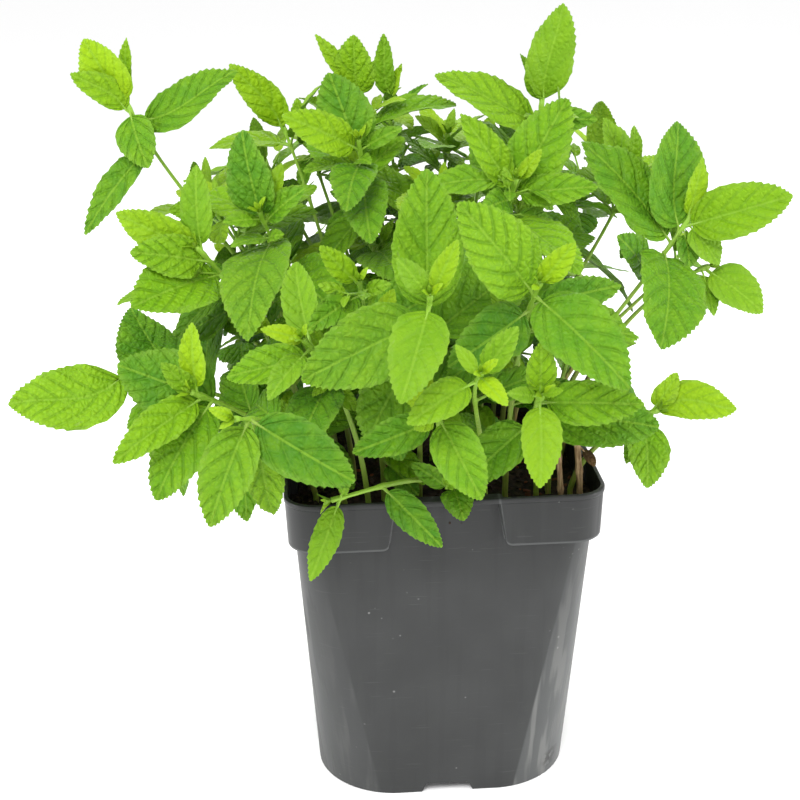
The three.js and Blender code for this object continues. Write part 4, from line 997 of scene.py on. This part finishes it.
class Graph:
    """A material made of nodes, built from sums, mixes and textures."""

    def __init__(self, name, roughness, specular):
        self.material = bpy.data.materials.new(name)
        self.material.use_nodes = True
        self.tree = self.material.node_tree
        self.tree.nodes.clear()
        self.shader = self.node("BsdfPrincipled", {"Roughness": roughness, "Specular IOR Level": specular})
        self.output = self.node("OutputMaterial", {"Surface": self.shader.outputs[0]})
        self.place = self.node("TexCoord", {}).outputs["Object"]

    def link(self, source, target):
        self.tree.links.new(source, target)

    def feed(self, socket, value):
        if isinstance(value, bpy.types.NodeSocket):
            self.link(value, socket)
        else:
            socket.default_value = value

    def node(self, kind, inputs, **settings):
        """A new node of a kind, with some of its inputs linked or set."""
        node = self.tree.nodes.new("ShaderNode" + kind)
        for name, value in settings.items():
            setattr(node, name, value)
        for key, value in inputs.items():
            self.feed(node.inputs[key], value)
        return node

    def math(self, operation, a, b=0.0):
        return self.node("Math", {0: a, 1: b}, operation=operation).outputs[0]

    def times(self, a, b):
        return self.math("MULTIPLY", a, b)

    def plus(self, a, b):
        return self.math("ADD", a, b)

    def less(self, a, b):
        return self.math("SUBTRACT", a, b)

    def attribute(self, name):
        source = self.node("Attribute", {}, attribute_name=name)
        return self.node("SeparateXYZ", {0: source.outputs["Vector"]}).outputs

    def span(self, value, low, high, to_low=0.0, to_high=1.0, kind="SMOOTHSTEP"):
        """Maps low..high to to_low..to_high."""
        inputs = {"Value": value, "From Min": low, "From Max": high, "To Min": to_low, "To Max": to_high}
        return self.node("MapRange", inputs, interpolation_type=kind).outputs[0]

    def mix(self, share, a, b):
        return self.node("Mix", {0: share, 6: a, 7: b}, data_type="RGBA").outputs[2]

    def layers(self, base, rows):
        """Lays colours over one another: rows of share, red, green, blue."""
        for share, *rgb in rows:
            base = self.mix(share, base, linear(*rgb))
        return base

    def scaled(self, x, y, z):
        return self.node("VectorMath", {0: self.place, 1: (x, y, z)}, operation="MULTIPLY").outputs[0]

    def distance(self, point_mm):
        point = [value * MM for value in point_mm]
        return self.node("VectorMath", {0: self.place, 1: point}, operation="DISTANCE").outputs["Value"]

    def noise(self, size_mm, detail=3.0, vector=None):
        scale = 1 if vector else 1 / (size_mm * MM)
        return self.node("TexNoise", {"Vector": vector or self.place, "Scale": scale,
                                      "Detail": detail}).outputs[0]

    def cells(self, size_mm, feature="DISTANCE_TO_EDGE"):
        inputs = {"Vector": self.place, "Scale": 1 / (size_mm * MM)}
        return self.node("TexVoronoi", inputs, feature=feature).outputs[0]

    def bump(self, height, distance_mm, strength=1.0):
        node = self.node("Bump", {"Strength": strength, "Distance": distance_mm * MM, "Height": height})
        self.link(node.outputs[0], self.shader.inputs["Normal"])
        return node.outputs[0]

    def colour(self, value):
        self.link(value, self.shader.inputs["Base Color"])


def make_leaf_material():
    g = Graph("mint_leaf", 0.5, 0.16)
    phase, from_rib, under = g.attribute("leaf")
    age, tone, brown = g.attribute("look")
    # 0 on a side vein, 1 halfway between two
    between = g.times(g.math("ABSOLUTE", g.less(g.math("FRACT", g.plus(phase, 0.5)), 0.5)), 2.0)
    vein = g.span(between, 0.0, 0.2, 1.0, 0.0)
    furrow = g.span(between, 0.0, 0.42, 1.0, 0.0)
    rib = g.span(from_rib, 0.2, 0.6, 1.0, 0.0)
    rib_side = g.span(from_rib, 0.3, 2.0, 1.0, 0.0)
    net = g.cells(2.1)
    net_crease_shade = g.span(net, 0.0, 0.2, 1.0, 0.0)
    mottle = g.span(g.noise(7, 4.0), 0.3, 0.7)
    fine = g.noise(0.6, 2.0)
    grown = g.span(age, 0.0, 0.6, 0.26, 1.0)
    outer = g.span(from_rib, 3.0, 11.0, 1.0, 0.35)
    # painted shade: the furrows beside the side veins and beside the midrib are darkened in colour, more on
    # grown leaves
    dark = g.times(g.math("MAXIMUM", g.times(furrow, outer), g.times(rib_side, 0.7)), grown)
    lines = g.math("MAXIMUM", g.times(rib, 0.5), g.times(vein, 0.16))
    base = g.layers(linear(162, 197, 18), [
        (g.span(age, 0.0, 0.5), 116, 167, 20),                         # young to grown
        (g.span(age, 0.45, 1.0), 68, 124, 26),                         # grown to old
        (g.span(tone, 0.3, 1.0, 0.0, 0.6), 80, 138, 36),
        (g.span(tone, 0.0, 0.3, 0.3, 0.0), 158, 199, 46),
        (g.times(mottle, 0.34), 142, 183, 30),
        # painted shade in the furrows along the veins and midrib, and in the fine creases of the vein net
        (g.times(dark, 0.42), 44, 100, 14),
        (g.times(g.times(net_crease_shade, grown), 0.22), 44, 100, 10),
        (lines, 142, 184, 52)])
    pale = g.mix(0.5, base, linear(140, 174, 74))
    base = g.mix(g.times(under, 0.9), base, pale)
    dead = g.mix(mottle, linear(104, 76, 40), linear(62, 44, 24))
    base = g.mix(brown, base, dead)
    g.colour(base)
    height = g.less(g.times(fine, 0.2), g.times(furrow, grown))
    rough = g.plus(g.times(g.span(net, 0.0, 0.45), 1.1), g.times(g.noise(2.6, 2.0), 1.2))
    height = g.plus(height, g.times(rough, g.span(age, 0.0, 0.6, 0.5, 1.0)))
    bump = g.bump(height, 0.42, 0.9)
    g.link(g.span(fine, 0.3, 0.7, 0.42, 0.58), g.shader.inputs["Roughness"])
    through = g.node("BsdfTranslucent", {"Color": g.mix(0.5, base, linear(150, 205, 8)), "Normal": bump})
    both = g.node("MixShader", {0: 0.25, 1: g.shader.outputs[0], 2: through.outputs[0]})
    g.link(both.outputs[0], g.output.inputs["Surface"])
    return g.material


def make_stem_material():
    g = Graph("mint_stem", 0.5, 0.4)
    share, reddish, dry = g.attribute("look")
    base = g.mix(share, linear(100, 116, 40), linear(128, 172, 44))
    streak = g.span(g.noise(0, 2.0, g.scaled(900, 900, 120)), 0.35, 0.7)
    red = g.times(g.times(reddish, g.span(share, 0.2, 0.9, 1.0, 0.1)), streak)
    base = g.mix(red, base, linear(128, 66, 58))
    g.colour(g.mix(g.times(streak, 0.25), base, linear(146, 180, 70)))
    g.bump(streak, 0.15)
    return g.material


def make_dry_material():
    g = Graph("dry_fibre", 0.8, 0.2)
    streak = g.span(g.noise(0, 4.0, g.scaled(1500, 1500, 140)), 0.3, 0.7)
    g.colour(g.mix(streak, linear(176, 150, 112), linear(112, 88, 60)))
    g.bump(streak, 0.35)
    return g.material


SMUDGE = (38.5, -36, 7)      # a patch of dirt low on the pot's right front corner


def make_pot_material():
    g = Graph("pot_plastic_grey", 0.42, 0.36)
    x, y, up = g.node("SeparateXYZ", {0: g.place}).outputs
    to_middle = g.math("MINIMUM", g.math("ABSOLUTE", x), g.math("ABSOLUTE", y))
    flat = g.span(up, 0.0, BAND_LOW * MM, FLAT_LOW * MM, FLAT_END * MM, "LINEAR")
    past_flat = g.less(to_middle, flat)
    corner = g.span(past_flat, 4.6 * MM, 5.6 * MM)
    corner = g.times(corner, g.math("LESS_THAN", up, (BAND_LOW - 0.3) * MM))
    # painted highlight along the rim panels' edge, which runs down beside the recess, round the corner and
    # along the ledge
    recess = g.span(up, BAND_LOW * MM, POT_HEIGHT * MM, RECESS_HALF_LOW * MM, RECESS_HALF_HIGH * MM,
                    "LINEAR")
    from_side = g.less(to_middle, recess)
    from_low = g.less(up, BAND_LOW * MM)
    turn_x = g.math("MAXIMUM", g.less(LEDGE_RADIUS * MM, from_side), 0.0)
    turn_z = g.math("MAXIMUM", g.less(LEDGE_RADIUS * MM, from_low), 0.0)
    reach = g.math("SQRT", g.plus(g.times(turn_x, turn_x), g.times(turn_z, turn_z)))
    off_edge = g.math("ABSOLUTE", g.less(reach, (LEDGE_RADIUS - 0.45) * MM))
    edge_highlight = g.span(off_edge, 0.15 * MM, 0.6 * MM, 1.0, 0.0)
    shaded = g.span(up, (BAND_LOW - 22) * MM, BAND_LOW * MM)
    streak = g.span(g.noise(0, 2.0, g.scaled(230, 230, 2.0)), 0.48, 0.62)
    cloud = g.noise(26, 4.0)
    grain = g.noise(0.5, 2.0)
    # painted reflection of the side lights on the body's rounded corners: stronger low down and on the
    # right-hand corners
    corner_reflection = g.times(corner, g.span(up, 0.02, 0.095, 1.0, 0.35))
    corner_reflection = g.times(corner_reflection, g.span(x, -0.03, 0.03, 0.22, 1.0))
    scuffs = g.span(g.cells(3.2, "F1"), 0.10, 0.16, 1.0, 0.0)
    rare = g.span(g.noise(14, 2.0), 0.62, 0.68)
    smudge = g.span(g.distance(SMUDGE), 2.5 * MM, 6.5 * MM, 1.0, 0.0)
    smudge = g.times(smudge, g.span(g.noise(2.2, 3.0), 0.42, 0.55))
    scratch = g.span(g.noise(0, 2.0, g.scaled(60, 60, 1600)), 0.66, 0.72)
    g.colour(g.layers(linear(43, 44, 44), [
        (g.span(cloud, 0.3, 0.7), 49, 50, 50),
        (g.times(shaded, 0.55), 30, 31, 31),
        # painted highlight on the rim panels' edge
        (g.times(edge_highlight, 0.5), 92, 94, 94),
        # painted reflection on the corners, with painted streaks of reflection
        (g.times(corner_reflection, 0.46), 88, 90, 90),
        (g.times(g.times(corner_reflection, streak), 0.6), 112, 112, 110),
        (g.times(g.times(scuffs, rare), 0.4), 150, 150, 148),
        (g.times(smudge, 0.75), 24, 23, 22),
        (g.times(scratch, 0.05), 140, 140, 140)]))
    g.link(g.span(g.plus(g.times(cloud, 0.6), g.times(streak, 0.4)),
                  0.3, 0.75, 0.4, 0.54), g.shader.inputs["Roughness"])
    g.bump(g.plus(g.times(grain, 0.3), g.times(g.times(streak, corner), 0.5)), 0.12, 0.6)
    return g.material


def make_soil_material():
    g = Graph("soil_peat", 0.92, 0.25)
    bark, tone, loose = g.attribute("look")
    peat = g.mix(g.span(g.noise(2.2, 5.0), 0.35, 0.7), linear(26, 20, 16), linear(58, 44, 34))
    wood = g.mix(tone, linear(122, 70, 44), linear(80, 48, 32))
    peat = g.mix(g.times(g.times(loose, tone), 0.4), peat, linear(84, 66, 50))
    g.colour(g.mix(bark, peat, wood))
    g.bump(g.noise(0.8, 5.0), 0.5)
    return g.material


leaf_material = make_leaf_material()
stem_material = make_stem_material()
dry_material = make_dry_material()
pot_material = make_pot_material()
soil_material = make_soil_material()


# ---------------------------------------------------------------- the plant, the camera and the light

build_pot()
build_soil()
shoots, crowd = grow_plant()
for number, shoot in enumerate(shoots):
    build_leafy_stem(number, shoot, crowd)
for number, row in enumerate(DRY_STEMS):
    build_dry_stem(number, *row)

CAMERA_AZIMUTH, CAMERA_ELEVATION, CAMERA_ROLL = -3.5, 19.9, -1.0
CAMERA_DISTANCE, CAMERA_TARGET_X, CAMERA_TARGET_Z = 533, -12.1, 136.4
CAMERA_LENS = 65.6
FLOOR_HALF = 4000
# Name, place, aim and size in metres, and power.
LIGHTS = [
    ("key", (-0.35, -0.9, 1.15), (0, 0, 0.17), (0.8, 0.6), 15),
    ("right_strip", (0.95, -0.3, 0.35), (0, 0, 0.08), (0.3, 0.8), 6),
    ("left_strip", (-0.95, -0.2, 0.35), (0, 0, 0.08), (0.3, 0.8), 4),
    ("back_top", (0.2, 0.8, 0.9), (0, 0, 0.2), (0.8, 0.5), 6),
]


def place_camera():
    azimuth, elevation, roll = (math.radians(a) for a in (CAMERA_AZIMUTH, CAMERA_ELEVATION, CAMERA_ROLL))
    back = vec(math.sin(azimuth) * math.cos(elevation), -math.cos(azimuth) * math.cos(elevation),
               math.sin(elevation))
    target = vec(CAMERA_TARGET_X * math.cos(azimuth), CAMERA_TARGET_X * math.sin(azimuth), CAMERA_TARGET_Z)
    right = unit(np.cross(-back, vec(0, 0, 1)))
    up = np.cross(right, -back)
    across_view, up_view = turned(right, up, roll), turned(up, -right, roll)
    data = bpy.data.cameras.new("camera")
    data.lens, data.sensor_width, data.clip_start, data.clip_end = CAMERA_LENS, 36, 0.01, 20
    camera = add_object("camera", data)
    turn = Matrix([across_view.tolist(), up_view.tolist(), back.tolist()]).transposed().to_4x4()
    camera.matrix_world = Matrix.Translation((target + back * CAMERA_DISTANCE) * MM) @ turn
    bpy.context.scene.camera = camera


def add_light(name, place, aim, size, power):
    data = bpy.data.lights.new(name, "AREA")
    data.shape, (data.size, data.size_y), data.energy = "RECTANGLE", size, power
    light = add_object(name, data)
    light.location = place
    light.rotation_euler = (Vector(aim) - Vector(place)).to_track_quat("-Z", "Y").to_euler()


def build_stage():
    corners = [(x * FLOOR_HALF, y * FLOOR_HALF, 0) for x, y in ((-1, -1), (1, -1), (1, 1), (-1, 1))]
    floor = add_object("floor", mesh_of("floor", corners, [[0, 1, 2, 3]]))
    graph = Graph("floor_pale", 0.9, 0.1)
    graph.shader.inputs["Base Color"].default_value = (0.97, 0.97, 0.97, 1)
    floor.data.materials.append(graph.material)
    world = bpy.data.worlds.new("studio")
    bpy.context.scene.world = world
    world.use_nodes = True
    background = world.node_tree.nodes["Background"]
    background.inputs["Color"].default_value = (1, 1, 1, 1)
    background.inputs["Strength"].default_value = 1.0
    for row in LIGHTS:
        add_light(*row)
    scene = bpy.context.scene
    scene.view_settings.view_transform = "Standard"
    scene.cycles.use_denoising = True


place_camera()
build_stage()
